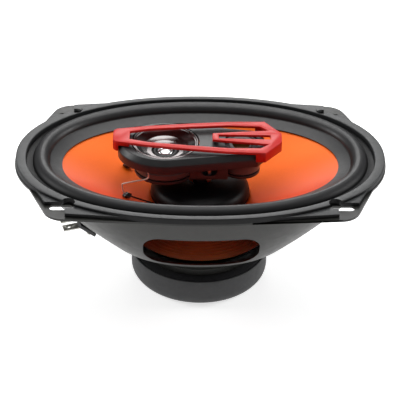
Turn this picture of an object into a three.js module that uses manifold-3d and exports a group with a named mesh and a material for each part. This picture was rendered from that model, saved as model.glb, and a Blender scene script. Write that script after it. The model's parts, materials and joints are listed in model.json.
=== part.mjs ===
import * as THREE from 'three';
import { mergeVertices } from 'three/addons/utils/BufferGeometryUtils.js';
import Module from 'manifold-3d';

// Oval coaxial car speaker, in millimetres. The origin is the centre of the magnet boot's bottom,
// +Z points to the listener and +X runs along the long axis. Ovals are given by their two
// half-lengths, the long one along X and the short one along Y.

// Driving dimensions: front ring and flange
const ringLong = 118.5;
const ringShort = 76.7;
const rimLong = 6.7;            // width of the ring's face at its ends
const rimShort = 4.2;           // and at the middle of its sides
const ringHeight = 3.9;
const wingHeight = 2.1;         // lower corner plates beside the screw slots
const wingEarInset = 3;
const wingEndInset = 1.3;
const flangeMargin = 0.6;       // steel showing outside the ring's ends
const flangeShy = 0.8;          // and hidden under the middle of its sides
const screwLong = 82.5;
const screwShort = 57.3;
const screwSlotWidth = 5.6;
const screwSlotReach = 9;       // between the centres of a slot's two round ends
const recessRadius = 4.4;
const notchOffset = 1.5;        // screw's centre to where the plates are cut away
const earRadius = 13.2;
const earShift = 2.4;           // ear's centre beyond the screw's, along the long axis
const slantShort = 11.5;        // where the slanted edge leaves the oval's end
const ovalPower = 2.15;         // 2 is an ellipse, more is squarer

// Basket
const sheet = 1.4;
const basketDepth = 58.1;       // seat to flange, underside to underside
const wallInsetLong = 7.5;
const wallInsetShort = 1.7;
const shelfLong = 62;
const shelfShort = 52.5;
const shelfRise = 11.7;
const neckRadius = 40;
const seatClear = 3.5;          // coil former to the basket's bore
const wallBow = 3;
const windowWidth = 73;
const windowRise = 14.5;        // from the seat to the window's lower edge
const windowHeight = 28;
const windowCorner = 11;
const drainLong = 70.5;         // four small drain slots under the flange
const drainShort = 50;
const drainDrop = 10;

// Moving parts
const rollRadius = 5.3;
const landingLong = 4.3;
const landingShort = 2.5;
const landWidth = 8.1;
const skin = 0.8;
const coneWall = 0.9;
const coneDrop = 22.6;          // rim of the cone to the dust cap's foot
const neckRise = 5.2;           // spider's foot to the cone's neck
const capRadius = 32.3;
const capHeight = 11;
const capBore = 8;
const coilRadius = 15;
const coilLength = 11;

// Motor
const bootRadius = 44.8;
const bootWall = 1.5;
const bootCorner = 8.5;
const backPlateRadius = 37;
const backPlateHeight = 5;
const magnetHeight = 12.9;
const magnetBore = 21;
const topPlateRadius = 37.5;
const topPlateHeight = 5;
const coilGap = 1.1;            // free space inside and outside the coil

// Bridge over the cone
const postRadius = 4.6;
const postFlange = 7.4;
const deckRise = 9.5;           // ring's top to the housing's top face
const deckThickness = 2;
const skirtHeight = 9.2;
const skirtWall = 1.6;
const chamferIn = 2.4;
const chamferDown = 3.5;
const cupDrop = 11.3;           // from the housing's skirt to the bottom of the base
const baseThickness = 1.7;
const tweeterX = -22.7;
const cupRadius = 20;
const cupWall = 1.2;
const ringLap = 1.6;            // horn's rim over the tub
const roundEndMargin = 4;       // housing outside the horn's rim
const roundEndDraw = 4.9;       // and how far the round end is drawn out away from the tip
const superMargin = 3.8;        // housing outside the super tweeter's tub
const narrowReach = 10;         // super tweeter's centre to where the housing starts to narrow
const tipReach = 16;            // and to its tip
const tipHalfWidth = 8;
const domeRadius = 5.2;
const hornDepth = 7.5;
const tubSpacing = 16.3;        // between the two tubs
const superRadius = 12.4;
const superFaceRadius = 11;
const trimRise = 3.5;           // housing's top to the red trim's top
const trimEndDepth = 7.2;

// Clearance left between neighbours that touch
const gap = 0.3;

// Heights that follow from the stack
const backPlateZ = bootWall + gap;
const magnetZ = backPlateZ + backPlateHeight + gap;
const topPlateZ = magnetZ + magnetHeight + gap;
const topPlateTop = topPlateZ + topPlateHeight;
const seatZ = topPlateTop + gap;
const shelfZ = seatZ + shelfRise;
const flangeZ = seatZ + basketDepth;
const flangeTop = flangeZ + sheet;
const ringZ = flangeTop + gap;
const ringTop = ringZ + ringHeight;
const openingLong = ringLong - rimLong;
const openingShort = ringShort - rimShort;
const wallLong = ringLong - wallInsetLong;
const wallShort = ringShort - wallInsetShort;
const rollLong = openingLong - landingLong - rollRadius;
const rollShort = openingShort - landingShort - rollRadius;
const edgeLong = rollLong - rollRadius - landWidth;
const edgeShort = rollShort - rollRadius - landWidth;
const rollZ = ringZ + skin / 2 - 0.4;
const edgeZ = rollZ - 2.6;
const footZ = edgeZ - coneDrop;
const spiderZ = shelfZ + sheet + gap;
const neckZ = spiderZ + neckRise;
const seatBore = coilRadius + seatClear;
const deckTop = ringTop + deckRise;
const trimTop = deckTop + trimRise;
const skirtZ = deckTop - skirtHeight;
const baseZ = skirtZ - cupDrop;
const cupZ = baseZ + baseThickness + gap;
const baseTop = skirtZ - gap;
const ringRadius = cupRadius + ringLap;
const roundEndRadius = ringRadius + roundEndMargin;
const roundEndReach = roundEndRadius + roundEndDraw;
const roundEndX = tweeterX - roundEndReach;
const superX = tweeterX + cupRadius + tubSpacing + superRadius;
const narrowHalfWidth = superRadius + superMargin;
const narrowX = superX + narrowReach;
const tipX = superX + tipReach;

const wasm = await Module();
wasm.setup();

const paint = (color, roughness, metalness) =>
  new THREE.MeshStandardMaterial({ color, roughness, metalness });
const blackSteel = paint(0x37373a, 0.45, 0.4);
const blackPlastic = paint(0x202124, 0.5, 0);
const rubber = paint(0x2c2c2e, 0.8, 0);
const redPlastic = paint(0xd8281a, 0.35, 0);
const orangeCone = paint(0xee6a2c, 0.3, 0.3);
const chrome = paint(0xd8d8dc, 0.12, 1);
const zincSteel = paint(0xa8a9a6, 0.4, 0.9);
const ferrite = paint(0x2a2a2c, 0.7, 0.1);
const brownCloth = paint(0x9a5c22, 0.85, 0);
const copper = paint(0xb8703c, 0.35, 0.9);
const tinnedWire = paint(0xc9b8a4, 0.35, 0.8);
const amberFilm = paint(0xa5672a, 0.5, 0);

function toSolid(geometry) {
  const plain = geometry.clone();
  plain.deleteAttribute('normal');
  plain.deleteAttribute('uv');
  const merged = mergeVertices(plain, 1e-4);
  const positions = merged.attributes.position.array;
  const index = merged.index.array;
  const corners = [];
  for (let i = 0; i < index.length; i += 3) {
    const [a, b, c] = [index[i], index[i + 1], index[i + 2]];
    if (a !== b && b !== c && c !== a) corners.push(a, b, c);
  }
  if (signedVolume(positions, corners) < 0) {
    for (let i = 0; i < corners.length; i += 3) {
      [corners[i], corners[i + 1]] = [corners[i + 1], corners[i]];
    }
  }
  return new wasm.Manifold(new wasm.Mesh({
    numProp: 3,
    vertProperties: new Float32Array(positions),
    triVerts: new Uint32Array(corners),
  }));
}

function signedVolume(positions, corners) {
  const point = (i) => new THREE.Vector3().fromArray(positions, i * 3);
  let volume = 0;
  for (let i = 0; i < corners.length; i += 3) {
    volume += point(corners[i]).dot(point(corners[i + 1]).cross(point(corners[i + 2])));
  }
  return volume;
}

function toGeometry(solid) {
  const mesh = solid.getMesh();
  const geometry = new THREE.BufferGeometry();
  geometry.setAttribute('position', new THREE.BufferAttribute(mesh.vertProperties, 3));
  geometry.setIndex(new THREE.BufferAttribute(mesh.triVerts, 1));
  geometry.computeVertexNormals();
  return geometry;
}

const speaker = new THREE.Group();

function add(name, solid, material) {
  const mesh = new THREE.Mesh(toGeometry(solid), material);
  mesh.name = name;
  speaker.add(mesh);
}

const joined = (...solids) => solids.reduce((sum, solid) => sum.add(solid));
const cut = (body, ...tools) => tools.reduce((rest, tool) => rest.subtract(tool), body);

// A stack of ovals, each [long half, short half, height], skinned into one closed ring or solid.
function ovalLathe(ovals, segments = 44) {
  const profile = ovals.map(([, short, z]) => new THREE.Vector2(short, z));
  const geometry = new THREE.LatheGeometry([...profile, profile[0]], segments);
  const position = geometry.attributes.position;
  const loop = ovals.length + 1;
  for (let i = 0; i < position.count; i++) {
    const [long, short, z] = ovals[(i % loop) % ovals.length];
    const angle = (Math.floor(i / loop) % segments) / segments * 2 * Math.PI;
    const [x, y] = ovalPoint(long, short, angle);
    position.setXYZ(i, x, y, z);
  }
  return toSolid(geometry);
}

function ovalPoint(long, short, angle) {
  const power = 2 / (long === short ? 2 : ovalPower);
  const bend = (value) => Math.sign(value) * Math.abs(value) ** power;
  return [long * bend(Math.cos(angle)), short * bend(Math.sin(angle))];
}

// The inner face of a bent sheet: the same ovals moved in by its thickness.
function inward(ovals, thickness) {
  return ovals.map(([long, short, z], i) => {
    const [longA, shortA, zA] = ovals[Math.max(i - 1, 0)];
    const [longB, shortB, zB] = ovals[Math.min(i + 1, ovals.length - 1)];
    const run = (longB - longA + shortB - shortA) / 2;
    const rise = zB - zA;
    const size = Math.hypot(run, rise);
    const side = thickness * rise / size;
    return [long - side, short - side, z + thickness * run / size];
  });
}

const sheetRing = (ovals, thickness, segments) =>
  ovalLathe([...ovals, ...inward(ovals, thickness).reverse()], segments);

const round = (radius, z) => [radius, radius, z];

function turned(points, segments = 24) {
  return ovalLathe(points.map(([radius, z]) => round(radius, z)), segments);
}

// Disc or cylinder standing on z, without a hole.
function disc(radius, z, height, segments = 32) {
  const geometry = new THREE.CylinderGeometry(radius, radius, height, segments);
  geometry.rotateX(Math.PI / 2);
  geometry.translate(0, 0, z + height / 2);
  return toSolid(geometry);
}

function plate(shape, z, height) {
  const geometry = new THREE.ExtrudeGeometry(shape, { depth: height, bevelEnabled: false });
  geometry.translate(0, 0, z);
  return toSolid(geometry);
}

function box(x0, x1, y0, y1, z0, z1) {
  const geometry = new THREE.BoxGeometry(x1 - x0, y1 - y0, z1 - z0);
  geometry.translate((x0 + x1) / 2, (y0 + y1) / 2, (z0 + z1) / 2);
  return toSolid(geometry);
}

function polygon(points) {
  const outline = points.map(([x, y]) => new THREE.Vector2(x, y));
  return new THREE.Shape(THREE.ShapeUtils.isClockWise(outline) ? outline.reverse() : outline);
}

function ovalShape(long, short, segments = 48) {
  const angles = Array.from({ length: segments }, (_, i) => i / segments * 2 * Math.PI);
  return polygon(angles.map((angle) => ovalPoint(long, short, angle)));
}

const corners = [[1, 1], [-1, 1], [-1, -1], [1, -1]];
const sides = [1, -1];

// The flange's outline: slanted ends and nearly straight sides, both tangent to a round ear at
// each screw slot.
function earedOutline(earInset, endInset, sideInset) {
  const [endX] = ovalPoint(ringLong, ringShort, Math.asin(slantShort / ringShort));
  const end = [endX - endInset, slantShort];
  const side = [0, ringShort - sideInset];
  const quarter = [end, ...earArc(earRadius - earInset, end, side), side];
  const points = corners.flatMap(([sideX, sideY]) => {
    const placed = quarter.map(([x, y]) => [x * sideX, y * sideY]);
    return sideX * sideY > 0 ? placed : placed.reverse();
  });
  const open = points.filter(([x, y], i) => {
    const [nextX, nextY] = points[(i + 1) % points.length];
    return Math.hypot(nextX - x, nextY - y) > 0.01;
  });
  return polygon(open);
}

function earArc(radius, from, to) {
  const centreX = screwLong + earShift;
  const tangentAngle = ([x, y], turn) => {
    const distance = Math.hypot(x - centreX, y - screwShort);
    return Math.atan2(y - screwShort, x - centreX) + turn * Math.acos(radius / distance);
  };
  const start = tangentAngle(from, 1);
  const end = tangentAngle(to, -1);
  const steps = 8;
  return Array.from({ length: steps + 1 }, (_, i) => {
    const angle = start + (end - start) * i / steps;
    return [centreX + radius * Math.cos(angle), screwShort + radius * Math.sin(angle)];
  });
}

// Height of the cone's upper face at a point between the dust cap's foot and its edge.
function coneHeight(x, y) {
  const inside = (share) => {
    const long = capRadius + (edgeLong - capRadius) * share;
    const short = capRadius + (edgeShort - capRadius) * share;
    return (Math.abs(x) / long) ** ovalPower + (Math.abs(y) / short) ** ovalPower < 1;
  };
  let [low, high] = [0, 1];
  for (let i = 0; i < 40; i++) {
    const middle = (low + high) / 2;
    if (inside(middle)) high = middle;
    else low = middle;
  }
  return footZ + coneDrop * high;
}

// Basket: stamped steel, from the round seat on the motor to the eared flange.
const wallOvals = [
  round(seatBore, seatZ),
  round(neckRadius - 1, seatZ),
  round(neckRadius + 0.6, seatZ + 3.6),
  round(neckRadius + 4, seatZ + 8),
  [shelfLong - 9, shelfShort - 4, shelfZ - 1.4],
  [shelfLong, shelfShort, shelfZ],
  [(shelfLong + wallLong) / 2 + wallBow, (shelfShort + wallShort) / 2 + wallBow / 2,
    (shelfZ + flangeZ) / 2],
  [wallLong, wallShort, flangeZ + sheet / 2],
];

function windowSolid(side) {
  const [halfWidth, low] = [windowWidth / 2, seatZ + windowRise];
  const high = low + windowHeight;
  const shape = new THREE.Shape();
  const quarter = Math.PI / 2;
  const arc = (x, z, start) => shape.absarc(x, z, windowCorner, start, start + quarter, false);
  arc(halfWidth - windowCorner, high - windowCorner, 0);
  arc(windowCorner - halfWidth, high - windowCorner, quarter);
  arc(windowCorner - halfWidth, low + windowCorner, 2 * quarter);
  arc(halfWidth - windowCorner, low + windowCorner, 3 * quarter);
  const geometry = new THREE.ExtrudeGeometry(shape, {
    depth: wallShort - shelfShort + 30, bevelEnabled: false, curveSegments: 5,
  });
  geometry.rotateX(Math.PI / 2);
  geometry.translate(0, side > 0 ? wallShort + 10 : -shelfShort + 20, 0);
  return toSolid(geometry);
}

function slotTool(sideX, sideY, z, height) {
  const radius = screwSlotWidth / 2;
  const end = disc(radius, z, height, 16);
  const middle = box(0, screwSlotReach, -radius, radius, z, z + height);
  return joined(end, middle, end.translate([screwSlotReach, 0, 0]))
    .rotate([0, 0, sideX > 0 ? 0 : 180]).translate([screwLong * sideX, screwShort * sideY, 0]);
}

// Where the terminal board lies on the wall, and its three directions: along, up and out.
const boardY = -14;
const boardRise = 11.2;         // basket's shelf to the board's middle
const boardWidth = 26;
const boardHeight = 13;
const boardThickness = 2;
const boardStandOff = 0.9;
const tabPitch = 9;
const tabRivetRadius = 1.1;
const boardRivetRadius = 1.2;
const tabThickness = 0.8;

function wallX(y, z) {
  const share = (z - shelfZ) / (flangeZ - shelfZ);
  const bow = wallBow * (1 - Math.abs(2 * share - 1));
  const long = shelfLong + (wallLong - shelfLong) * share + bow;
  const short = shelfShort + (wallShort - shelfShort) * share + bow / 2;
  return long * (1 - (Math.abs(y) / short) ** ovalPower) ** (1 / ovalPower);
}

const boardZ = shelfZ + boardRise;
const boardTurn = Math.atan(wallX(boardY + 0.5, boardZ) - wallX(boardY - 0.5, boardZ));
const boardSlope = Math.atan(Math.cos(boardTurn)
  * (wallX(boardY, boardZ + 0.5) - wallX(boardY, boardZ - 0.5)));
const boardPlace = new THREE.Matrix4()
  .makeTranslation(-wallX(boardY, boardZ) - boardStandOff, boardY, boardZ)
  .multiply(new THREE.Matrix4().makeRotationZ(Math.PI + boardTurn))
  .multiply(new THREE.Matrix4().makeRotationY(Math.PI / 2 + boardSlope));

// Local axes after this: +Z out of the wall, -X up the wall and Y along it.
function onBoard(solid) {
  return solid.transform(boardPlace.elements);
}

const boardRivetPlaces = sides.map((side) => [2.5, side * (boardWidth / 2 - 2.4)]);
const tabPlaces = sides.map((side) => [1.5, side * tabPitch / 2]);

function basket() {
  const wall = sheetRing(wallOvals, sheet);
  const eared = plate(earedOutline(0, 0, flangeShy), flangeZ, sheet);
  const oval = plate(ovalShape(ringLong + flangeMargin, ringShort - flangeShy), flangeZ, sheet);
  const opening = plate(ovalShape(rollLong + rollRadius, rollShort + rollRadius),
    flangeZ - sheet, 3 * sheet);
  const flange = cut(joined(eared, oval), opening);
  const slots = corners.map(([x, y]) => slotTool(x, y, flangeZ - 5, 10));
  const rivetHoles = seatRivetPlaces.map(([x, y]) =>
    disc(seatRivetRadius + gap, seatZ - 1, 4, 10).translate([x, y, 0]));
  const boardHole = onBoard(box(-3, 5, -tabPitch / 2 - 4, tabPitch / 2 + 4, -6, 6));
  const boardRivets = boardRivetPlaces.map(([x, y]) =>
    onBoard(disc(boardRivetRadius + gap, -6, 12, 10).translate([x, y, 0])));
  const drains = corners.map(([x, y]) =>
    box(-2.5, 2.5, -6, 6, -1.2, 1.2).translate([drainLong * x, drainShort * y, flangeZ - drainDrop]));
  return cut(joined(wall, flange), ...slots, ...rivetHoles, boardHole, ...boardRivets,
    windowSolid(1), windowSolid(-1), ...drains);
}

const seatRivetRadius = 1.6;
const seatRivetCircle = 30;
const seatRivetPlaces = [45, 135, 225, 315].map((degrees) => {
  const angle = THREE.MathUtils.degToRad(degrees);
  return [seatRivetCircle * Math.cos(angle), seatRivetCircle * Math.sin(angle)];
});

add('basket', basket(), blackSteel);

function trimRing() {
  const [bevel, top] = [0.8, ringTop];
  const band = ovalLathe([
    [ringLong, ringShort, ringZ],
    [ringLong, ringShort, top - bevel],
    [ringLong - bevel, ringShort - bevel, top],
    [openingLong + bevel, openingShort + bevel, top],
    [openingLong, openingShort, top - bevel],
    [openingLong, openingShort, ringZ],
  ]);
  const opening = plate(ovalShape(openingLong, openingShort), ringZ - 1, wingHeight + 2);
  const pockets = corners.map(([x, y]) => disc(recessRadius, ringZ - 1, ringHeight + 2, 16)
    .translate([screwLong * x, screwShort * y, 0]));
  const notches = corners.map(([x, y]) => {
    const near = [(screwLong + notchOffset) * x, (screwShort - screwSlotWidth / 2) * y];
    const far = [near[0] + ringLong * x, near[1] + ringShort * y];
    return box(Math.min(near[0], far[0]), Math.max(near[0], far[0]),
      Math.min(near[1], far[1]), Math.max(near[1], far[1]), ringZ - 1, ringTop + 1);
  });
  const eared = plate(earedOutline(wingEarInset, wingEndInset, 0), ringZ, wingHeight);
  const wings = cut(eared, opening, ...notches);
  return cut(joined(band, wings), ...pockets);
}

add('trim_ring', trimRing(), rubber);

// Surround: flat landing, half roll and a sloping land over the cone's edge.
function surround() {
  const steps = 6;
  const roll = Array.from({ length: steps + 1 }, (_, i) => {
    const angle = Math.PI * i / steps;
    const out = rollRadius * Math.cos(angle);
    return [rollLong + out, rollShort + out, rollZ + rollRadius * Math.sin(angle)];
  });
  const upper = [
    [openingLong - gap - 0.2, openingShort - gap - 0.2, rollZ + skin],
    [roll[0][0] + 0.2, roll[0][1] + 0.2, rollZ + skin],
    ...roll.slice(1, -1),
    [rollLong - rollRadius - 0.2, rollShort - rollRadius - 0.2, rollZ + 0.3],
    [edgeLong, edgeShort, edgeZ],
  ].reverse();
  return ovalLathe([...upper, ...inward(upper, -skin).reverse()]);
}

add('surround', surround(), rubber);

function coneSolid() {
  const cover = skin + gap + 0.25;
  const upper = [
    round(coilRadius + 1.6, neckZ),
    round(capRadius, footZ),
    [edgeLong, edgeShort, edgeZ - cover],
    [edgeLong + landWidth - 1.2, edgeShort + landWidth - 1.2, rollZ - cover + 0.1],
  ];
  const shell = ovalLathe([...upper, ...inward(upper, -coneWall).reverse()]);
  const holes = eyeletPlaces.map((place) => eyeletTool(eyeletShank + gap, -4, 8, place));
  return cut(shell, ...holes);
}

const eyeletShank = 1;
const eyeletHead = 2.1;
const eyeletX = -47;
const eyeletY = 18.5;
const eyeletPlaces = sides.map((side) => [eyeletX, -eyeletY * side]);
const eyeletTilt = Math.atan(coneDrop / (edgeLong - capRadius));

function eyeletTool(radius, z, height, [x, y]) {
  return disc(radius, z, height, 12).rotate([0, THREE.MathUtils.radToDeg(eyeletTilt), 0])
    .translate([x, y, coneHeight(x, y)]);
}

add('cone', coneSolid(), orangeCone);

function dustCap() {
  const z = footZ + gap + 0.3;
  return sheetRing([
    round(capRadius, z),
    round(capRadius - 0.4, z + capHeight * 0.4),
    round(capRadius - 2.6, z + capHeight * 0.72),
    round(capRadius - 8, z + capHeight * 0.92),
    round(capRadius - 15, z + capHeight),
    round(capBore, z + capHeight + 0.3),
  ], skin, 28);
}

add('dust_cap', dustCap(), blackPlastic);

const formerWall = 0.5;
const coilZ = topPlateZ + topPlateHeight / 2 - coilLength / 2;
const winding = 0.7;

add('coil_former', turned([
  [coilRadius - formerWall, coilZ - 1],
  [coilRadius, coilZ - 1],
  [coilRadius, neckZ + 1.5],
  [coilRadius - formerWall, neckZ + 1.5],
]), amberFilm);

add('coil_winding', turned([
  [coilRadius + gap, coilZ],
  [coilRadius + gap + winding, coilZ],
  [coilRadius + gap + winding, coilZ + coilLength],
  [coilRadius + gap, coilZ + coilLength],
]), copper);

// Spider: corrugated disc from the basket's shelf to the former.
const spiderRadius = shelfShort - 4.5;
const corrugations = 4;

function spider() {
  const inner = coilRadius + gap;
  const flat = 3;
  const start = spiderRadius - flat;
  const steps = corrugations * 2;
  const waves = Array.from({ length: steps + 1 }, (_, i) => {
    const share = i / steps;
    const wave = Math.cos(share * corrugations * 2 * Math.PI) * 1.1;
    return round(start + (inner + 1.5 - start) * share, spiderZ + 0.6 + wave + share * 0.8);
  });
  const upper = [round(spiderRadius, spiderZ + 0.6), ...waves, round(inner, spiderZ + 1.6)];
  return ovalLathe([...upper, ...upper.map(([a, b, z]) => [a, b, z - 0.6]).reverse()], 28);
}

add('spider', spider(), brownCloth);

// Motor
add('top_plate', cut(turned([
  [coilRadius + coilGap + winding, topPlateZ],
  [topPlateRadius, topPlateZ],
  [topPlateRadius, topPlateTop],
  [coilRadius + coilGap + winding, topPlateTop],
], 28), ...seatRivetPlaces.map(([x, y]) =>
  disc(seatRivetRadius + gap, topPlateZ - 1, 8, 10).translate([x, y, 0]))), blackSteel);

const magnetRadius = bootRadius - bootWall - gap;

add('magnet', turned([
  [magnetBore, magnetZ],
  [magnetRadius, magnetZ],
  [magnetRadius, magnetZ + magnetHeight],
  [magnetBore, magnetZ + magnetHeight],
], 28), ferrite);

const poleRadius = coilRadius - formerWall - coilGap + 0.3;
const poleBore = postRadius + gap;
const screwPocket = 8.5;
const pocketDepth = 4.4;

add('back_plate', turned([
  [screwPocket, backPlateZ],
  [backPlateRadius - 1, backPlateZ],
  [backPlateRadius, backPlateZ + 1],
  [backPlateRadius, backPlateZ + backPlateHeight],
  [poleRadius, backPlateZ + backPlateHeight],
  [poleRadius, topPlateTop],
  [poleBore, topPlateTop],
  [poleBore, backPlateZ + pocketDepth],
  [screwPocket, backPlateZ + pocketDepth],
], 28), zincSteel);

function boot() {
  const steps = 6;
  const outer = Array.from({ length: steps + 1 }, (_, i) => {
    const angle = Math.PI / 2 * i / steps;
    return [bootRadius - bootCorner + bootCorner * Math.sin(angle),
      bootCorner - bootCorner * Math.cos(angle)];
  });
  const innerCorner = bootCorner - bootWall;
  const inner = Array.from({ length: steps + 1 }, (_, i) => {
    const angle = Math.PI / 2 * i / steps;
    return [bootRadius - bootCorner + innerCorner * Math.sin(angle),
      bootCorner - innerCorner * Math.cos(angle)];
  });
  const top = magnetZ + magnetHeight;
  return turned([
    [bootHole, 0],
    ...outer,
    [bootRadius, top],
    [bootRadius - bootWall, top],
    ...inner.reverse(),
    [bootHole, bootWall],
  ], 28);
}

const bootHole = 18;

add('magnet_boot', boot(), rubber);

seatRivetPlaces.forEach(([x, y], i) => {
  const headZ = seatZ + sheet + gap;
  const rivet = turnedSolid([[0, topPlateZ + 0.5], [seatRivetRadius, topPlateZ + 0.5],
    [seatRivetRadius, headZ], [3, headZ], [2.4, headZ + 1.2], [0, headZ + 1.5]]);
  add(`seat_rivet_${i + 1}`, rivet.translate([x, y, 0]), zincSteel);
});

// A solid of revolution whose profile starts and ends on the axis.
function turnedSolid(points, segments = 12) {
  const geometry = new THREE.LatheGeometry(
    points.map(([radius, z]) => new THREE.Vector2(radius, z)), segments);
  geometry.rotateX(Math.PI / 2);
  return toSolid(geometry);
}

// Bridge post, with the screw that holds it through the pole.
const postFoot = backPlateZ + pocketDepth + 1.6;
const postTop = baseZ - gap;
const screwRadius = 2;
const screwBite = 16;

add('bridge_post', cut(turnedSolid([
  [0, postFoot],
  [postRadius, postFoot],
  [postRadius, postTop - 3.4],
  [postFlange, postTop - 1.6],
  [postFlange, postTop],
  [0, postTop],
], 28), disc(screwRadius + gap, postFoot - 1, screwBite + 2, 10)), blackPlastic);

const washerZ = backPlateZ + pocketDepth - 1.3;

add('post_washer', turned([
  [screwRadius + gap, washerZ],
  [screwPocket - 1, washerZ],
  [screwPocket - 1, washerZ + 1],
  [screwRadius + gap, washerZ + 1],
], 28), zincSteel);

add('post_screw', turnedSolid([
  [0, washerZ - 2.8],
  [3.6, washerZ - 2.8],
  [4.2, washerZ - 2.2],
  [4.2, washerZ - gap],
  [screwRadius, washerZ - gap],
  [screwRadius, postFoot + screwBite],
  [0, postFoot + screwBite],
]), zincSteel);

// Teardrop outline of the housing: a round end over the tweeter and a blunt tip, inset evenly.
function teardrop(inset) {
  const radius = roundEndRadius - inset;
  const half = narrowHalfWidth - inset;
  const tangent = Math.acos((half - radius) / (narrowX - tweeterX)) - Math.PI / 2;
  const start = Math.PI / 2 - Math.abs(tangent);
  const steps = 26;
  const points = Array.from({ length: steps + 1 }, (_, i) => {
    const angle = start + (2 * Math.PI - 2 * start) * i / steps;
    const reach = Math.cos(angle) < 0 ? roundEndReach - inset : radius;
    return [tweeterX + reach * Math.cos(angle), radius * Math.sin(angle)];
  });
  points.push([narrowX - inset * 0.4, -half], [tipX - inset, inset / 2 - tipHalfWidth]);
  points.push([tipX - inset, tipHalfWidth - inset / 2], [narrowX - inset * 0.4, half]);
  return polygon(points);
}

function housing() {
  const low = plate(teardrop(0), skirtZ, skirtHeight - chamferDown);
  const steps = 3;
  const chamfers = Array.from({ length: steps }, (_, i) => {
    const share = (i + 0.5) / steps;
    return plate(teardrop(chamferIn * share), skirtZ + 1,
      skirtHeight - 1 - chamferDown * (1 - (i + 1) / steps));
  });
  const hollow = plate(teardrop(skirtWall + chamferIn * 0.6), skirtZ - 1,
    skirtHeight + 1 - deckThickness);
  const tweeterHole = disc(ringRadius + gap, skirtZ, skirtHeight + 2, 64)
    .translate([tweeterX, 0, 0]);
  const superHole = disc(superFaceRadius + gap, skirtZ, skirtHeight + 2, 40)
    .translate([superX, 0, 0]);
  return cut(joined(low, ...chamfers), hollow, tweeterHole, superHole);
}

add('bridge_housing', housing(), blackPlastic);

// Base under both tubs, with the hollow boss between them and its cross slot.
const bossLeft = tweeterX + cupRadius + gap;
const bossRight = superX - superRadius - gap;
const bossHalf = 13;
const baseScrewRadius = 1.2;
const slotLow = baseZ + 2.6;
const slotHigh = baseTop - 0.9;
const baseScrewPlaces = sides.map((side) => [(bossLeft + bossRight) / 2, side * 10.2]);

function bridgeBase() {
  const floor = joined(
    disc(cupRadius, baseZ, baseThickness, 64).translate([tweeterX, 0, 0]),
    disc(superRadius, baseZ, baseThickness, 40).translate([superX, 0, 0]),
    box(tweeterX, superX, 3 - bossHalf, bossHalf - 3, baseZ, baseZ + baseThickness),
  );
  const boss = box(bossLeft - 5, bossRight + 4, -bossHalf, bossHalf, baseZ, baseTop);
  const clear = [
    disc(cupRadius + gap, baseZ + baseThickness, cupDrop, 64).translate([tweeterX, 0, 0]),
    disc(superRadius + gap, baseZ + baseThickness, cupDrop, 40).translate([superX, 0, 0]),
  ];
  const middle = (slotLow + slotHigh) / 2;
  const radius = (slotHigh - slotLow) / 2;
  const slot = new THREE.Shape();
  slot.absarc(bossLeft + 2.6 + radius, middle, radius, Math.PI / 2, 3 * Math.PI / 2, false);
  slot.absarc(bossRight - 2.6 - radius, middle, radius, -Math.PI / 2, Math.PI / 2, false);
  const geometry = new THREE.ExtrudeGeometry(slot, {
    depth: 2 * bossHalf + 2, bevelEnabled: false, curveSegments: 5,
  });
  geometry.rotateX(Math.PI / 2);
  geometry.translate(0, bossHalf + 1, 0);
  const screwHoles = baseScrewPlaces.map(([x, y]) =>
    disc(baseScrewRadius + gap, baseZ - 1, cupDrop + 2, 10).translate([x, y, 0]));
  return cut(joined(floor, cut(boss, ...clear)), toSolid(geometry), ...screwHoles);
}

add('bridge_base', bridgeBase(), blackPlastic);

baseScrewPlaces.forEach(([x, y], i) => {
  const headTop = baseZ - gap;
  const screw = turnedSolid([[0, headTop - 1.3], [1.8, headTop - 1.3], [2.2, headTop - 0.8],
    [2.2, headTop], [baseScrewRadius, headTop], [baseScrewRadius, baseTop + 1.5],
    [0, baseTop + 1.5]], 10);
  add(`base_screw_${i + 1}`, screw.translate([x, y, 0]), zincSteel);
});

// Tweeter: tub, magnet with its centre pole, dome on its coil tube, suspension and bright horn.
const cupTop = deckTop - deckThickness - 1.6;
const tweeterMagnetHeight = 6.6;
const moveX = (solid, x) => solid.translate([x, 0, 0]);

add('tweeter_cup', moveX(turnedSolid([
  [0, cupZ],
  [cupRadius - 1.2, cupZ],
  [cupRadius, cupZ + 1.2],
  [cupRadius, cupTop],
  [cupRadius - cupWall, cupTop],
  [cupRadius - cupWall, cupZ + 1.5],
  [0, cupZ + 1.5],
], 28), tweeterX), blackPlastic);

const tweeterMagnetZ = cupZ + 1.5 + gap;
const tweeterPole = domeRadius - 1.2;
const domeZ = deckTop - hornDepth;

add('tweeter_magnet', moveX(turnedSolid([
  [0, tweeterMagnetZ],
  [12, tweeterMagnetZ],
  [12, tweeterMagnetZ + tweeterMagnetHeight],
  [domeRadius + 0.8, tweeterMagnetZ + tweeterMagnetHeight],
  [domeRadius + 0.8, tweeterMagnetZ + 2.5],
  [tweeterPole, tweeterMagnetZ + 2.5],
  [tweeterPole, tweeterMagnetZ + tweeterMagnetHeight],
  [0, tweeterMagnetZ + tweeterMagnetHeight],
], 28), tweeterX), zincSteel);

function domeShell(radius, z, rise, wall, tube) {
  const steps = 5;
  const arc = (r, h, low) => Array.from({ length: steps + 1 }, (_, i) => {
    const angle = Math.PI / 2 * i / steps;
    return [r * Math.cos(angle), low + h * Math.sin(angle)];
  });
  return turnedSolid([
    ...arc(radius - wall, rise - wall, z).reverse(),
    [radius - wall, z - tube],
    [radius, z - tube],
    ...arc(radius, rise, z),
  ], 28);
}

add('tweeter_dome', moveX(domeShell(domeRadius, domeZ, 2, 0.5, 4), tweeterX), chrome);

add('tweeter_suspension', moveX(turned([
  [domeRadius + gap, domeZ - 0.4],
  [domeRadius + 1.6, domeZ + 0.5],
  [domeRadius + 3, domeZ - 0.4],
  [domeRadius + 3, domeZ],
  [domeRadius + 1.6, domeZ + 0.9],
  [domeRadius + gap, domeZ],
], 28), tweeterX), blackPlastic);

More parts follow.
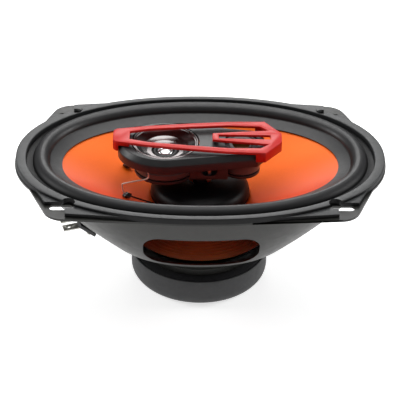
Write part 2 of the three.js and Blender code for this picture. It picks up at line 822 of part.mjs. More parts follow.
// Carrier ring between the tub's rim and the magnet, holding the suspension's outer edge.
add('tweeter_carrier', moveX(turned([
  [domeRadius + 1.9, domeZ - 1.6],
  [cupRadius - cupWall - gap, domeZ - 1.6],
  [cupRadius - cupWall - gap, domeZ - 0.7],
  [domeRadius + 1.9, domeZ - 0.7],
], 28), tweeterX), blackPlastic);

const hornTop = deckTop - 0.2;

add('tweeter_horn', moveX(turned([
  [domeRadius + 3.3, domeZ + 0.1],
  [domeRadius + 4.6, domeZ + 0.3],
  [15.5, domeZ + 2],
  [cupRadius - 1.6, cupTop + gap],
  [ringRadius, cupTop + gap],
  [ringRadius, hornTop - 0.6],
  [ringRadius - 0.6, hornTop],
  [ringRadius - 1.4, hornTop],
  [cupRadius - 1.2, cupTop + 1.6],
  [15.2, domeZ + 2.9],
  [domeRadius + 4.4, domeZ + 1.1],
  [domeRadius + 3.3, domeZ + 0.9],
], 28), tweeterX), chrome);

// Super tweeter: tub, face, stretched diaphragm and its piezo disc.
const superTop = deckTop - deckThickness - 1;

add('super_tweeter_cup', moveX(turnedSolid([
  [0, cupZ],
  [superRadius - 1, cupZ],
  [superRadius, cupZ + 1],
  [superRadius, superTop],
  [superRadius - cupWall, superTop],
  [superRadius - cupWall, cupZ + 1.5],
  [0, cupZ + 1.5],
], 28), superX), blackPlastic);

const faceZ = superTop + gap;

add('super_tweeter_face', moveX(turned([
  [5.5, faceZ],
  [superFaceRadius, faceZ],
  [superFaceRadius, faceZ + 1.4],
  [superFaceRadius - 0.8, faceZ + 2],
  [5.5, faceZ + 0.8],
], 28), superX), chrome);

add('super_tweeter_diaphragm', moveX(turnedSolid([
  [0, faceZ - 4.2],
  [3, faceZ - 4.2],
  [superRadius - cupWall - gap, faceZ - 1.5],
  [superRadius - cupWall - gap, faceZ - 0.9],
  [3, faceZ - 3.6],
  [0, faceZ - 3.6],
], 28), superX), amberFilm);

add('piezo_disc', moveX(disc(6, faceZ - 5.2, 0.6, 32), superX), copper);

// Crossover capacitor, lying across the bridge between the two tubs.
const capacitorRadius = 2.4;
const capacitorLength = 17;

function capacitor() {
  const geometry = new THREE.CylinderGeometry(capacitorRadius, capacitorRadius, capacitorLength, 24);
  geometry.translate((bossLeft + bossRight) / 2, 0, baseTop + gap + capacitorRadius);
  return toSolid(geometry);
}

add('crossover_capacitor', capacitor(), blackPlastic);

// Red trim: a tapered frame over the bridge, its window split by a fork from the blunt end.
const trimHalfWidths = [[roundEndX - 2.8, 6], [roundEndX - 0.8, 8], [tweeterX - 11.1, 12.2],
  [tweeterX + 17.7, 16.3], [superX - 9, 18.9], [tipX - 1, 19.8], [tipX + 9.7, 5.3]];
const windowHalfWidths = [[roundEndX + 7.7, 4.7], [tweeterX - 10.3, 8.2], [tweeterX + 16.7, 11.7],
  [superX - 8, 14.2], [tipX - 4, 13.6], [tipX + 1.6, 8.6]];
const forkHalfWidths = [[superX - 4, 6.1], [superX - 18.6, 4]];
const forkSlotHalfWidths = [[superX - 14.5, 2.3], [tipX + 2.5, 2.7]];
const trimEndHollow = [[tipX - 12, 17.2], [tipX - 2.1, 17.5], [tipX + 7.5, 4.6]];
const trimBarHeight = 1.8;
const trimPivotX = tipX - 4;
const trimTurn = -1.4;          // degrees, about the blunt end

const mirrored = (halves) => [...halves, ...halves.map(([x, y]) => [x, -y]).reverse()];

function redTrim() {
  const bottom = trimTop - trimBarHeight;
  const outer = polygon(mirrored(trimHalfWidths));
  outer.holes.push(polygon([
    ...windowHalfWidths,
    ...mirrored(forkHalfWidths),
    ...windowHalfWidths.map(([x, y]) => [x, -y]).reverse(),
  ]), polygon(mirrored(forkSlotHalfWidths)));
  const frame = plate(outer, bottom, trimBarHeight);
  const skirts = cut(plate(outer, trimTop - trimEndDepth, trimEndDepth - 1),
    plate(polygon(mirrored(trimEndHollow)), trimTop - trimEndDepth - 1, trimEndDepth + 2),
    plate(teardrop(-3 * gap), trimTop - trimEndDepth - 1, deckTop + gap - trimTop + trimEndDepth + 1),
    box(-200, 200, -100, 100, bottom + 0.5, trimTop + 1));
  const leftEnd = skirts.intersect(box(roundEndX - 10, windowHalfWidths[0][0], -30, 30, 0, 200));
  const rightEnd = skirts.intersect(box(narrowX - 1, tipX + 20, -30, 30, 0, 200));
  return joined(frame, leftEnd, rightEnd)
    .translate([-trimPivotX, 0, 0]).rotate([0, 0, trimTurn]).translate([trimPivotX, 0, 0]);
}

add('tweeter_trim', redTrim(), redPlastic);

// Eyelets on the cone, with the two leads that reach each of them.
const eyeletHeadHeight = 0.7;
const wireFacets = 3;

eyeletPlaces.forEach((place, i) => {
  const name = i === 0 ? 'front' : 'back';
  const lift = gap + 0.15;
  const eyelet = joined(
    eyeletTool(eyeletHead, lift, eyeletHeadHeight, place),
    eyeletTool(eyeletShank, -coneWall - 1.2, coneWall + 1.6 + lift, place),
    eyeletTool(eyeletHead, -coneWall - 1.6, eyeletHeadHeight, place),
  );
  add(`eyelet_${name}`, eyelet, zincSteel);
});

function wire(points, radius, steps) {
  const path = new THREE.CatmullRomCurve3(points.map((point) => new THREE.Vector3(...point)),
    false, 'centripetal');
  const section = new THREE.Shape();
  section.absarc(0, 0, radius, 0, 2 * Math.PI, false);
  return toSolid(new THREE.ExtrudeGeometry(section, {
    extrudePath: path, steps, curveSegments: wireFacets, bevelEnabled: false,
  }));
}

const leadRadius = 0.5;
// From the lug over a hook beside the tub, out to a corner and back to the eyelet.
const leadRoute = [
  [-34.9, -19, 88.2], [-33.9, -19.8, 87.6], [-33.3, -19.8, 86], [-33.5, -19.6, 83.5],
  [-36, -19.2, 81.8], [-40.5, -19, 80.8], [-49, -18.8, 78.6], [-50, -18.6, 77],
  [-49.8, -18.6, 74.5], [-49.2, -18.5, 71.8],
];
const eyeletZ = coneHeight(eyeletX, eyeletY);

// Terminals on the tub's side, where the tweeter's leads leave it.
const cupTerminalAngle = 1;
const cupTerminalZ = skirtZ - 1.6;
const terminalOut = cupRadius + gap;
const cupTerminal = (side, out) => [
  tweeterX - out * Math.cos(cupTerminalAngle), -side * out * Math.sin(cupTerminalAngle)];

sides.forEach((side) => {
  const name = side > 0 ? 'front' : 'back';
  const [x, y] = cupTerminal(side, terminalOut + 0.8);
  const lug = box(-0.8, 0.8, -1.4, 1.4, -1.6, 1.6)
    .rotate([0, 0, THREE.MathUtils.radToDeg(side * cupTerminalAngle)])
    .translate([x, y, cupTerminalZ]);
  add(`tweeter_lug_${name}`, lug, tinnedWire);
  const lead = wire([
    ...leadRoute.map(([px, py, pz]) => [px, py * side, pz]),
    [eyeletX, -eyeletY * side, eyeletZ + 1.9 + gap],
  ], leadRadius, 30);
  add(`tweeter_lead_${name}`, lead, tinnedWire);
  const lift = leadRadius + 2 * gap + 0.5;
  const coilLeadPoints = [-44.2, -39.5, -34.8, -30].map((px, i) => {
    const py = (0.3 * i - 18.2) * side;
    return [px, py, coneHeight(px, py) + lift];
  });
  add(`coil_lead_${name}`, wire(coilLeadPoints, leadRadius, 8), blackPlastic);
});

// Terminal board, its two tabs and rivets, and the braided leads from the cone's eyelets.
function terminalBoard() {
  const slab = box(-boardHeight / 2, boardHeight / 2, -boardWidth / 2, boardWidth / 2,
    gap, gap + boardThickness);
  const holes = [...boardRivetPlaces.map(([x, y]) => [x, y, boardRivetRadius]),
    ...tabPlaces.map(([x, y]) => [x, y, tabRivetRadius])]
    .map(([x, y, radius]) => disc(radius + gap, -2, 8, 10).translate([x, y, 0]));
  return onBoard(cut(slab, ...holes));
}

add('terminal_board', terminalBoard(), blackPlastic);

const tabWidths = [6.3, 4.8];
const tabNames = ['terminal_wide', 'terminal_narrow'];
const tabFoot = gap + boardThickness + gap;
const bladeLength = 12;
const bladeRise = bladeLength * Math.SQRT1_2;

tabPlaces.forEach(([x, y], i) => {
  const half = tabWidths[i] / 2;
  const outline = polygon([
    [x + 3, tabFoot],
    [x + 3, tabFoot + tabThickness],
    [x - 3, tabFoot + tabThickness],
    [x - 3 - bladeRise, tabFoot + bladeRise + tabThickness],
    [x - 3.6 - bladeRise, tabFoot + bladeRise + tabThickness - 0.6],
    [x - 3.4, tabFoot],
  ]);
  const geometry = new THREE.ExtrudeGeometry(outline, { depth: 2 * half, bevelEnabled: false });
  geometry.rotateX(Math.PI / 2);
  geometry.translate(0, y + half, 0);
  const eye = disc(tabRivetRadius, -5, 10, 10).rotate([0, 45, 0])
    .translate([x - 3 - bladeRise * 0.72, y, tabFoot + bladeRise * 0.72]);
  const rivetHole = disc(tabRivetRadius + gap, 0, 8, 10).translate([x, y, 0]);
  add(tabNames[i], onBoard(cut(toSolid(geometry), eye, rivetHole)), zincSteel);
  const rivetTop = tabFoot + tabThickness + gap;
  const rivet = turnedSolid([
    [0, -1.3], [1.9, -1.3], [1.9, -gap * 0.2], [tabRivetRadius, -gap * 0.2],
    [tabRivetRadius, rivetTop], [2, rivetTop], [1.5, rivetTop + 0.9], [0, rivetTop + 0.9],
  ], 10);
  add(`terminal_rivet_${i + 1}`, onBoard(rivet.translate([x, y, 0])), zincSteel);
});

boardRivetPlaces.forEach(([x, y], i) => {
  const top = gap + boardThickness + gap;
  const rivet = turnedSolid([
    [0, -6.2], [2, -6.2], [2, -5.6], [tabRivetRadius, -5.6], [tabRivetRadius, top], [2, top],
    [1.5, top + 0.8], [0, top + 0.8],
  ], 10);
  add(`board_rivet_${i + 1}`, onBoard(rivet.translate([x, y, 0])), zincSteel);
});

tabPlaces.forEach(([x, y], i) => {
  const inside = new THREE.Vector3(x, y, -1.6 - leadRadius - gap).applyMatrix4(boardPlace);
  const deeper = new THREE.Vector3(x, y, -5).applyMatrix4(boardPlace);
  const side = i === 0 ? 1 : -1;
  const eyeletLow = eyeletZ - coneWall - 1.6 - leadRadius - 2 * gap;
  const name = i === 0 ? 'front' : 'back';
  const lead = wire([
    [eyeletX - 0.5, -eyeletY * side, eyeletLow],
    [eyeletX - 1.2, -(eyeletY + 0.4) * side, eyeletLow - 2.5],
    [eyeletX - 3.5, -(eyeletY + 2) * side, eyeletLow - 6],
    [(eyeletX + deeper.x) / 2, (deeper.y * 1.2 - eyeletY * side) / 2.2, deeper.z - 3.6],
    deeper.toArray(),
    inside.toArray(),
  ], leadRadius, 20);
  add(`cone_lead_${name}`, lead, tinnedWire);
});

export default speaker;
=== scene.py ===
import json
import math

import bmesh
import bpy
from mathutils import Matrix, Vector


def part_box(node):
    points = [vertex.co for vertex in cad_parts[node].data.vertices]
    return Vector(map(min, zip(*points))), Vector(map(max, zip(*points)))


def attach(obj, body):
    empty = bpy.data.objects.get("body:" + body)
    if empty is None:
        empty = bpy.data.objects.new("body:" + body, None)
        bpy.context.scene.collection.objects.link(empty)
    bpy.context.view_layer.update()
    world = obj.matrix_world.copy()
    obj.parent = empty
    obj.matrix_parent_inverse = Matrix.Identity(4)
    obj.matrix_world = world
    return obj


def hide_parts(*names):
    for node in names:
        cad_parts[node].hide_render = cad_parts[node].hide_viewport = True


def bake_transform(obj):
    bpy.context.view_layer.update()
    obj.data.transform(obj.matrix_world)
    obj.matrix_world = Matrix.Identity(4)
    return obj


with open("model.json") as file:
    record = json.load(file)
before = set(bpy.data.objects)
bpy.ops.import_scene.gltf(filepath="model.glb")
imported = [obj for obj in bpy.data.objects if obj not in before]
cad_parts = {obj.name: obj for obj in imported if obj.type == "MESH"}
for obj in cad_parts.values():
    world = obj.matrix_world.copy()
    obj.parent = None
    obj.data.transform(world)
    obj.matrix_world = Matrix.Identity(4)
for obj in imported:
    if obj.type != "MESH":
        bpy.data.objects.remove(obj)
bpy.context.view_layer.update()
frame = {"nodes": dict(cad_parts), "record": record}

# Oval coaxial car speaker. Shapes are laid out in millimetres and scaled to metres once made.
# An oval is given by its long half, its short half and its height.
millimetre = 0.001
ovalPower = 2.15  # 2 is an ellipse, more is squarer
ovalSteps = 176  # corners in a full oval
cutHeight = 6  # tall enough to cut right through a sheet
weldReach = 1e-4  # points closer than this become one
tiny = 1e-6


def heights(node):
    low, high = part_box(node)
    return low.z / millimetre, high.z / millimetre


cameraSet = {"target": (0.00007, 0.0, 0.05446), "turn": -1.385, "rise": 32.48, "roll": 0.934,
             "distance": 1.15439, "lens": 159.15, "sensor": 36.0}


def makeCamera(s):
    turn, rise, roll = (math.radians(s[key]) for key in ("turn", "rise", "roll"))
    back = Vector((math.sin(turn) * math.cos(rise), -math.cos(turn) * math.cos(rise), math.sin(rise)))
    right = Vector((math.cos(turn), math.sin(turn), 0))
    up = back.cross(right)
    across = right * math.cos(roll) + up * math.sin(roll)
    upward = up * math.cos(roll) - right * math.sin(roll)
    data = bpy.data.cameras.new("camera")
    data.lens, data.sensor_width, data.clip_end = s["lens"], s["sensor"], 10
    camera = bpy.data.objects.new("camera", data)
    bpy.context.scene.collection.objects.link(camera)
    camera.matrix_world = Matrix.Translation(Vector(s["target"]) + back * s["distance"]) @ Matrix(
        (across, upward, back)).transposed().to_4x4()
    bpy.context.scene.camera = camera


makeCamera(cameraSet)
print("camera placed")


class Shade:  # a socket that can be used in sums
    def __init__(self, tree, socket=None):
        self.tree, self.socket = tree, socket

    def node(self, kind, settings=None, inputs=None, out=0):
        made = self.tree.nodes.new("ShaderNode" + kind)
        for key, value in (settings or {}).items():
            if key == "stops":
                while len(made.color_ramp.elements) < len(value):
                    made.color_ramp.elements.new(1.0)
                for element, (place, colour) in zip(made.color_ramp.elements, value):
                    element.position, element.color = place, (*colour, 1)
            else:
                setattr(made, key, value)
        for key, value in (inputs or {}).items():
            if isinstance(value, Shade):
                self.tree.links.new(value.socket, made.inputs[key])
            else:
                made.inputs[key].default_value = value
        return Shade(self.tree, made.outputs[out] if len(made.outputs) else None)

    def sum(self, operation, first, second=0.0):
        return self.node("Math", {"operation": operation}, {0: first, 1: second})

    def __add__(self, other):
        return self.sum("ADD", self, other)

    def __sub__(self, other):
        return self.sum("SUBTRACT", self, other)

    def __rsub__(self, other):
        return self.sum("SUBTRACT", other, self)

    def __mul__(self, other):
        return self.sum("MULTIPLY", self, other)

    __radd__, __rmul__ = __add__, __mul__


def sRgb(red, green, blue):  # 0 to 255, made linear
    return tuple(((c / 255 + 0.055) / 1.055) ** 2.4 if c > 10 else c / 3295 for c in (red, green, blue))


def startMaterial(name):
    material = bpy.data.materials.new(name)
    material.use_nodes = True
    tree = material.node_tree
    tree.nodes.clear()
    pen = Shade(tree)
    return material, pen, pen.node("TexCoord", out=3)


def endMaterial(material, pen, **sockets):
    surface = pen.node("BsdfPrincipled", None, {key.replace("_", " "): v for key, v in sockets.items()})
    pen.node("OutputMaterial", None, {"Surface": surface})
    return material


def noise(pen, where, size, detail=3.0, rough=0.55):
    return pen.node("TexNoise", None, {"Vector": where, "Scale": 1 / (size * millimetre),
                                       "Detail": detail, "Roughness": rough})


def tint(pen, factor, dark, light):
    return pen.node("Mix", {"data_type": "RGBA"}, {0: factor, 6: (*dark, 1), 7: (*light, 1)}, out=2)


def bump(pen, height, depth, strength=1.0):
    return pen.node("Bump", None, {"Strength": strength, "Distance": depth * millimetre, "Height": height})


# One entry a finish: two colours and the size of the patches between them, gloss and how much it
# varies, metal, the grain's size and depth, and how much it mirrors. Sizes are in millimetres.
finishes = {
    "satinSteel": dict(dark=(24, 24, 22), light=(38, 38, 35), patch=14, rough=0.36, vary=0.12,
                       metal=0.1, grain=0.5, depth=0.012, shine=0.4),
    "ringSatin": dict(dark=(34, 35, 36), light=(48, 49, 50), patch=9, rough=0.4, vary=0.1,
                      metal=0.0, grain=0.35, depth=0.02, shine=0.45),
    # A darker copy of ringSatin: painted shade for the ring's outer walls.
    "ringShadedSide": dict(dark=(8, 8, 9), light=(17, 17, 18), patch=9, rough=0.6, vary=0.1, metal=0.0,
                     grain=0.35, depth=0.02, shine=0.25),
    "rollRubber": dict(dark=(16, 16, 17), light=(26, 26, 28), patch=7, rough=0.42, vary=0.12,
                       metal=0.0, grain=0.45, depth=0.015),
    "capGloss": dict(dark=(3, 3, 4), light=(7, 7, 8), patch=12, rough=0.42, vary=0.08,
                     metal=0.0, grain=1.2, depth=0.006, shine=0.12),
    "bootRubber": dict(dark=(44, 44, 45), light=(58, 58, 59), patch=6, rough=0.62, vary=0.12,
                       metal=0.0, grain=0.4, depth=0.03),
    "housingBlack": dict(dark=(24, 24, 25), light=(38, 38, 39), patch=5, rough=0.38, vary=0.12,
                         metal=0.0, grain=0.3, depth=0.012),
    # A lighter, warmer copy of the housing's black: painted light.
    "litTubBlack": dict(dark=(66, 56, 54), light=(88, 75, 72), patch=6, rough=0.38, vary=0.12,
                     metal=0.0, grain=0.3, depth=0.01),
    "ferrite": dict(dark=(34, 34, 36), light=(52, 52, 55), patch=3, rough=0.7, vary=0.15,
                    metal=0.0, grain=0.5, depth=0.05),
    "zinc": dict(dark=(150, 148, 140), light=(186, 184, 178), patch=2.5, rough=0.34, vary=0.14,
                 metal=0.95, grain=0.3, depth=0.012),
    "chrome": dict(dark=(214, 212, 214), light=(232, 231, 233), patch=8, rough=0.09, vary=0.04,
                   metal=1.0, grain=2.0, depth=0.003),
    # A darker, faintly red copy of chrome: painted reflection.
    "shadedHornChrome": dict(dark=(112, 106, 106), light=(138, 132, 132), patch=8, rough=0.17, vary=0.05,
                       metal=1.0, grain=2.0, depth=0.003),
    # A much darker copy of chrome: painted shade.
    "shadedDarkChrome": dict(dark=(52, 49, 49), light=(74, 70, 70), patch=5, rough=0.22, vary=0.06,
                       metal=1.0, grain=2.0, depth=0.004),
    "redGloss": dict(dark=(186, 13, 6), light=(210, 24, 13), patch=9, rough=0.34, vary=0.08,
                     metal=0.0, grain=0.8, depth=0.006, shine=0.35),
    "copper": dict(dark=(160, 84, 44), light=(196, 112, 62), patch=1.5, rough=0.3, vary=0.1,
                   metal=0.95, grain=0.25, depth=0.03),
    "amberFilm": dict(dark=(126, 78, 30), light=(158, 102, 42), patch=4, rough=0.42, vary=0.1,
                      metal=0.0, grain=0.6, depth=0.01),
    "glue": dict(dark=(5, 5, 6), light=(14, 13, 13), patch=1.5, rough=0.22, vary=0.12,
                 metal=0.0, grain=0.8, depth=0.1),
}


def plainFinish(name, s):
    material, pen, where = startMaterial(name)
    patches = noise(pen, where, s["patch"])
    grain = noise(pen, where, s["grain"], 4.0, 0.6)
    return endMaterial(
        material, pen, Base_Color=tint(pen, patches, sRgb(*s["dark"]), sRgb(*s["light"])),
        Roughness=s["rough"] + (noise(pen, where, s["patch"] * 0.4) - 0.5) * (2 * s["vary"]),
        Metallic=s["metal"], Normal=bump(pen, grain, s["depth"]), Specular_IOR_Level=s.get("shine", 0.5))


looks = {name: plainFinish(name, s) for name, s in finishes.items()}

orangeSet = {"red": (206, 36, 8), "orange": (255, 112, 18), "redAt": -52, "orangeAt": 26, "pearl": 0.25,
             "fibre": 2.2, "speckle": 0.22, "metal": 0.3, "rough": 0.34, "vary": 0.16, "depth": 0.03,
             "relief": 0.6, "shine": 0.3, "coat": 0.12, "coatRough": 0.3}


def between(pen, value, low, high):  # 0 to 1 as the value goes from low to high
    return pen.node("MapRange", {"interpolation_type": "SMOOTHSTEP"},
                    {"Value": value, "From Min": low * millimetre, "From Max": high * millimetre})


def axes(pen, where):
    parts = pen.node("SeparateXYZ", None, {0: where})
    return [Shade(pen.tree, out) for out in parts.socket.node.outputs]


def orangeFilm(s):  # a pearl film over moulded pulp with painted light, redder towards the front and brighter orange towards the back, with flakes that catch the light
    material, pen, where = startMaterial("orangeFilm")
    flakes = noise(pen, where, s["pearl"], 2.0)
    fibres = noise(pen, where, s["fibre"], 5.0, 0.65)
    # painted light: the colour runs from red at the front to orange at the back
    glow = between(pen, axes(pen, where)[1], s["redAt"], s["orangeAt"])
    blend = glow + (flakes + fibres - 1.0) * s["speckle"]
    return endMaterial(
        material, pen, Base_Color=tint(pen, blend, sRgb(*s["red"]), sRgb(*s["orange"])),
        Metallic=s["metal"], Roughness=s["rough"] + fibres * s["vary"],
        Normal=bump(pen, fibres, s["depth"], s["relief"]), Specular_IOR_Level=s["shine"],
        Coat_Weight=s["coat"], Coat_Roughness=s["coatRough"])


looks["orangeFilm"] = orangeFilm(orangeSet)

clothSet = {"dark": (116, 58, 20), "light": (204, 122, 52), "threads": 260, "pitch": 0.55, "stain": 6,
            "rough": 0.78, "vary": 0.15, "depth": 0.12, "sheen": 0.3}


def spiderCloth(s):  # threads run round and outwards, resin-stiffened
    material, pen, where = startMaterial("spiderCloth")
    x, y = axes(pen, where)[:2]
    radius = pen.sum("SQRT", x * x + y * y)
    angle = pen.sum("ARCTAN2", y, x)
    across = pen.sum("SINE", radius * (2 * math.pi / (s["pitch"] * millimetre)))
    around = pen.sum("SINE", angle * s["threads"])
    weave = across * around * 0.5 + 0.5
    stain = noise(pen, where, s["stain"])
    return endMaterial(
        material, pen, Base_Color=tint(pen, weave * 0.5 + stain * 0.5, sRgb(*s["dark"]), sRgb(*s["light"])),
        Roughness=s["rough"] + stain * s["vary"], Normal=bump(pen, weave, s["depth"]),
        Sheen_Weight=s["sheen"])


looks["spiderCloth"] = spiderCloth(clothSet)

braidSet = {"dark": (176, 156, 140), "light": (246, 234, 222), "strand": 0.35, "bands": 0.3, "wander": 2.0,
            "worn": 1.2, "metal": 0.4, "rough": 0.3, "vary": 0.2, "depth": 0.08}


def tinnedBraid(s):  # fine slanted strands
    material, pen, where = startMaterial("tinnedBraid")
    strands = pen.node("TexWave", {"bands_direction": "DIAGONAL"},
                       {"Vector": where, "Scale": s["bands"] / (s["strand"] * millimetre),
                        "Distortion": s["wander"]})
    worn = noise(pen, where, s["worn"])
    return endMaterial(
        material, pen, Base_Color=tint(pen, strands * 0.6 + worn * 0.4, sRgb(*s["dark"]), sRgb(*s["light"])),
        Metallic=s["metal"], Roughness=s["rough"] + worn * s["vary"], Normal=bump(pen, strands, s["depth"]))


looks["tinnedBraid"] = tinnedBraid(braidSet)

# The low colour is painted shade in the roll's trough; the crest colour is the rubber's own.
crestSet = {"low": (3, 3, 4), "crest": (24, 24, 26), "lowAt": 86.6, "crestAt": 90.6, "patch": 7,
            "mottle": 0.3, "rough": 0.42, "vary": 0.12, "grain": 0.45, "depth": 0.015, "shine": 0.3}


def shadedCrestRubber(s):  # painted shade: near black in the trough, paler up to the crest, with a random mottle
    material, pen, where = startMaterial("shadedCrestRubber")
    high = between(pen, axes(pen, where)[2], s["lowAt"], s["crestAt"])
    worn = noise(pen, where, s["patch"])
    grain = noise(pen, where, s["grain"], 4.0, 0.6)
    shadeAndMottle = high + (worn - 0.5) * s["mottle"]
    return endMaterial(
        material, pen, Base_Color=tint(pen, shadeAndMottle, sRgb(*s["low"]), sRgb(*s["crest"])),
        Roughness=s["rough"] + worn * s["vary"], Normal=bump(pen, grain, s["depth"]),
        Specular_IOR_Level=s["shine"])


looks["shadedCrestRubber"] = shadedCrestRubber(crestSet)
print("finishes made:", len(looks))


def ovalPoint(long, short, angle):
    power = 2 / (2 if abs(long - short) < tiny else ovalPower)
    bend = lambda value: math.copysign(abs(value) ** power, value)
    return long * bend(math.cos(angle)), short * bend(math.sin(angle))


def softened(line, reach, steps=5):  # rounds the corners of an open line
    made, nearHalf = [line[0]], 0.48  # a rounding stops short of the middle of a side
    for before, corner, after in zip(line, line[1:], line[2:]):
        a, b, c = Vector(before), Vector(corner), Vector(after)
        start = b + (a - b) * min(reach / (a - b).length, nearHalf)
        end = b + (c - b) * min(reach / (c - b).length, nearHalf)
        for i in range(steps + 1):
            t = i / steps
            made.append(tuple(start * (1 - t) ** 2 + b * (2 * t * (1 - t)) + end * t ** 2))
    return made + [line[-1]]


def offsetOvals(ovals, thickness):  # the other face of a bent sheet
    made = []
    for i, (long, short, z) in enumerate(ovals):
        longA, shortA, zA = ovals[max(i - 1, 0)]
        longB, shortB, zB = ovals[min(i + 1, len(ovals) - 1)]
        run, rise = (longB - longA + shortB - shortA) / 2, zB - zA
        size = math.hypot(run, rise)
        made.append((long - thickness * rise / size, short - thickness * rise / size,
                     z + thickness * run / size))
    return made


def ovalSpin(ovals, steps=ovalSteps, sweep=360, start=0):  # spins a closed line and stretches it to the ovals
    bm = bmesh.new()
    longHalf, shortHalf = bm.verts.layers.float.new("long"), bm.verts.layers.float.new("short")
    line = []
    for long, short, z in ovals:
        vert = bm.verts.new((short, 0, z))
        vert[longHalf], vert[shortHalf] = long, short
        line.append(vert)
    edges = [bm.edges.new(pair) for pair in zip(line, line[1:] + line[:1])]
    bmesh.ops.rotate(bm, verts=line, cent=(0, 0, 0), matrix=Matrix.Rotation(math.radians(start), 3, "Z"))
    bmesh.ops.spin(bm, geom=line + edges, cent=(0, 0, 0), axis=(0, 0, 1), dvec=(0, 0, 0),
                   angle=math.radians(sweep), steps=steps, use_merge=sweep == 360)
    for vert in bm.verts:
        if vert[shortHalf] > tiny:
            angle = math.atan2(vert.co.y, vert.co.x)
            vert.co.x, vert.co.y = ovalPoint(vert[longHalf], vert[shortHalf], angle)
    bmesh.ops.remove_doubles(bm, verts=bm.verts, dist=weldReach)
    if sweep < 360:
        bmesh.ops.holes_fill(bm, edges=[e for e in bm.edges if e.is_boundary], sides=0)
    return bm


def turned(points, steps, x=0.0, **more):  # the same for round pieces, from radius and height
    bm = ovalSpin([(r, r, z) for r, z in points], steps, **more)
    bmesh.ops.translate(bm, verts=bm.verts, vec=(x, 0, 0))
    return bm


def plate(outline, z, height):
    bm = bmesh.new()
    face = bm.faces.new([bm.verts.new((x, y, z)) for x, y in outline])
    made = bmesh.ops.extrude_face_region(bm, geom=[face])["geom"]
    bmesh.ops.translate(bm, verts=[g for g in made if isinstance(g, bmesh.types.BMVert)], vec=(0, 0, height))
    bmesh.ops.recalc_face_normals(bm, faces=bm.faces)
    return bm


def addBox(bm, size, centre, turn=None, cornerAxis=None, corner=0.0, segments=12):
    matrix = Matrix.Translation(centre) @ (turn or Matrix()) @ Matrix.Diagonal((*size, 1))
    verts = bmesh.ops.create_cube(bm, size=1, matrix=matrix)["verts"]
    if cornerAxis is None:
        return
    edges = [e for e in {e for v in verts for e in v.link_edges}
             if abs((e.verts[0].co - e.verts[1].co).normalized()[cornerAxis]) > 0.99]
    bmesh.ops.bevel(bm, geom=edges, offset=corner, segments=segments, profile=0.5, affect="EDGES",
                    material=-1)


def addDisc(bm, radius, centre, height, segments=40):
    bmesh.ops.create_cone(bm, cap_ends=True, segments=segments, radius1=radius, radius2=radius, depth=height,
                          matrix=Matrix.Translation(centre))


def softEdges(bm, offset, angle, segments=3, where=None):
    sharp = [e for e in bm.edges if len(e.link_faces) == 2 and e.calc_face_angle() > math.radians(angle)
             and (where is None or all(where(v.co) for v in e.verts))]
    bmesh.ops.bevel(bm, geom=sharp, offset=offset, segments=segments, profile=0.5, affect="EDGES",
                    clamp_overlap=True, material=-1)


def makeObject(name, bm, scale=millimetre):
    bmesh.ops.recalc_face_normals(bm, faces=bm.faces)
    bmesh.ops.scale(bm, vec=(scale,) * 3, verts=bm.verts)
    mesh = bpy.data.meshes.new(name)
    bm.to_mesh(mesh)
    bm.free()
    made = bpy.data.objects.new(name, mesh)
    bpy.context.scene.collection.objects.link(made)
    return made


def carve(body, tool, operation="DIFFERENCE"):
    cutter = makeObject("cutter", tool)
    step = body.modifiers.new("carve", "BOOLEAN")
    step.object, step.operation, step.solver = cutter, operation, "EXACT"
    settled(body)
    bpy.data.objects.remove(cutter)


def settled(piece):  # applies the modifiers
    graph = bpy.context.evaluated_depsgraph_get()
    graph.update()
    mesh = bpy.data.meshes.new_from_object(piece.evaluated_get(graph))
    piece.modifiers.clear()
    piece.data = mesh


def dress(piece, look, slot, body, *nodes, smooth=38):
    piece.data.materials.clear()
    piece.data.materials.append(looks[look])
    piece.data.shade_smooth()
    piece.data.set_sharp_from_angle(angle=math.radians(smooth))
    if nodes:
        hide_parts(*nodes)
    if body:
        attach(piece, body)
    return piece


# Leads from the tweeter's lugs to the cone, held at both ends; the points are listed.
leadSet = {
    "diameter": 1.0,
    "route": [(-34.9, -19, 88.2), (-33.9, -19.8, 87.6), (-33.3, -19.8, 86), (-33.5, -19.6, 83.5),
              (-36, -19.2, 81.8), (-40.5, -19, 80.8), (-49, -18.8, 78.6), (-50, -18.6, 77),
              (-49.8, -18.6, 74.5), (-49.2, -18.5, 71.8), (-47, -18.5, 70.4)],
    "fixed": 82.0, "moving": 72.0,
}

# Leads from the cone's eyelets down to the terminals.
coneLeadSet = {
    "diameter": 1.0,
    "front": [(-47.5, -18.5, 64.6), (-48.2, -18.9, 62.1), (-50.5, -20.5, 58.6), (-58.1, -17.8, 47.7),
              (-69.2, -17.3, 51.3), (-70.8, -17.7, 49.3)],
    "back": [(-47.5, 18.5, 64.6), (-48.2, 18.9, 62.1), (-50.5, 20.5, 58.6), (-59.2, 3.7, 47.7),
             (-71.4, -8.6, 51.3), (-73, -9, 49.3)],
    "fixed": 51.5, "moving": 63.5,
}


def smoothRoute(points, each=8):  # a line through the points, closely spaced
    made = []
    ends = [points[0] * 2 - points[1], *points, points[-1] * 2 - points[-2]]
    for a, b, c, d in zip(ends, ends[1:], ends[2:], ends[3:]):
        for i in range(each):
            t = i / each
            made.append(0.5 * ((2 * b) + (c - a) * t + (2 * a - 5 * b + 4 * c - d) * t * t
                               + (3 * b - a - 3 * c + d) * t ** 3))
    return made + [points[-1]]


def tube(name, route, radius):
    data = bpy.data.curves.new(name, "CURVE")
    data.dimensions, data.bevel_depth, data.bevel_resolution, data.use_fill_caps = "3D", radius, 3, True
    spline = data.splines.new("POLY")
    spline.points.add(len(route) - 1)
    for point, place in zip(spline.points, route):
        point.co = (*place, 1)
    wire = bpy.data.objects.new(name, data)
    bpy.context.scene.collection.objects.link(wire)
    mesh = bpy.data.meshes.new_from_object(wire.evaluated_get(bpy.context.evaluated_depsgraph_get()))
    bpy.data.objects.remove(wire)
    made = bpy.data.objects.new(name, mesh)
    bpy.context.scene.collection.objects.link(made)
    return made


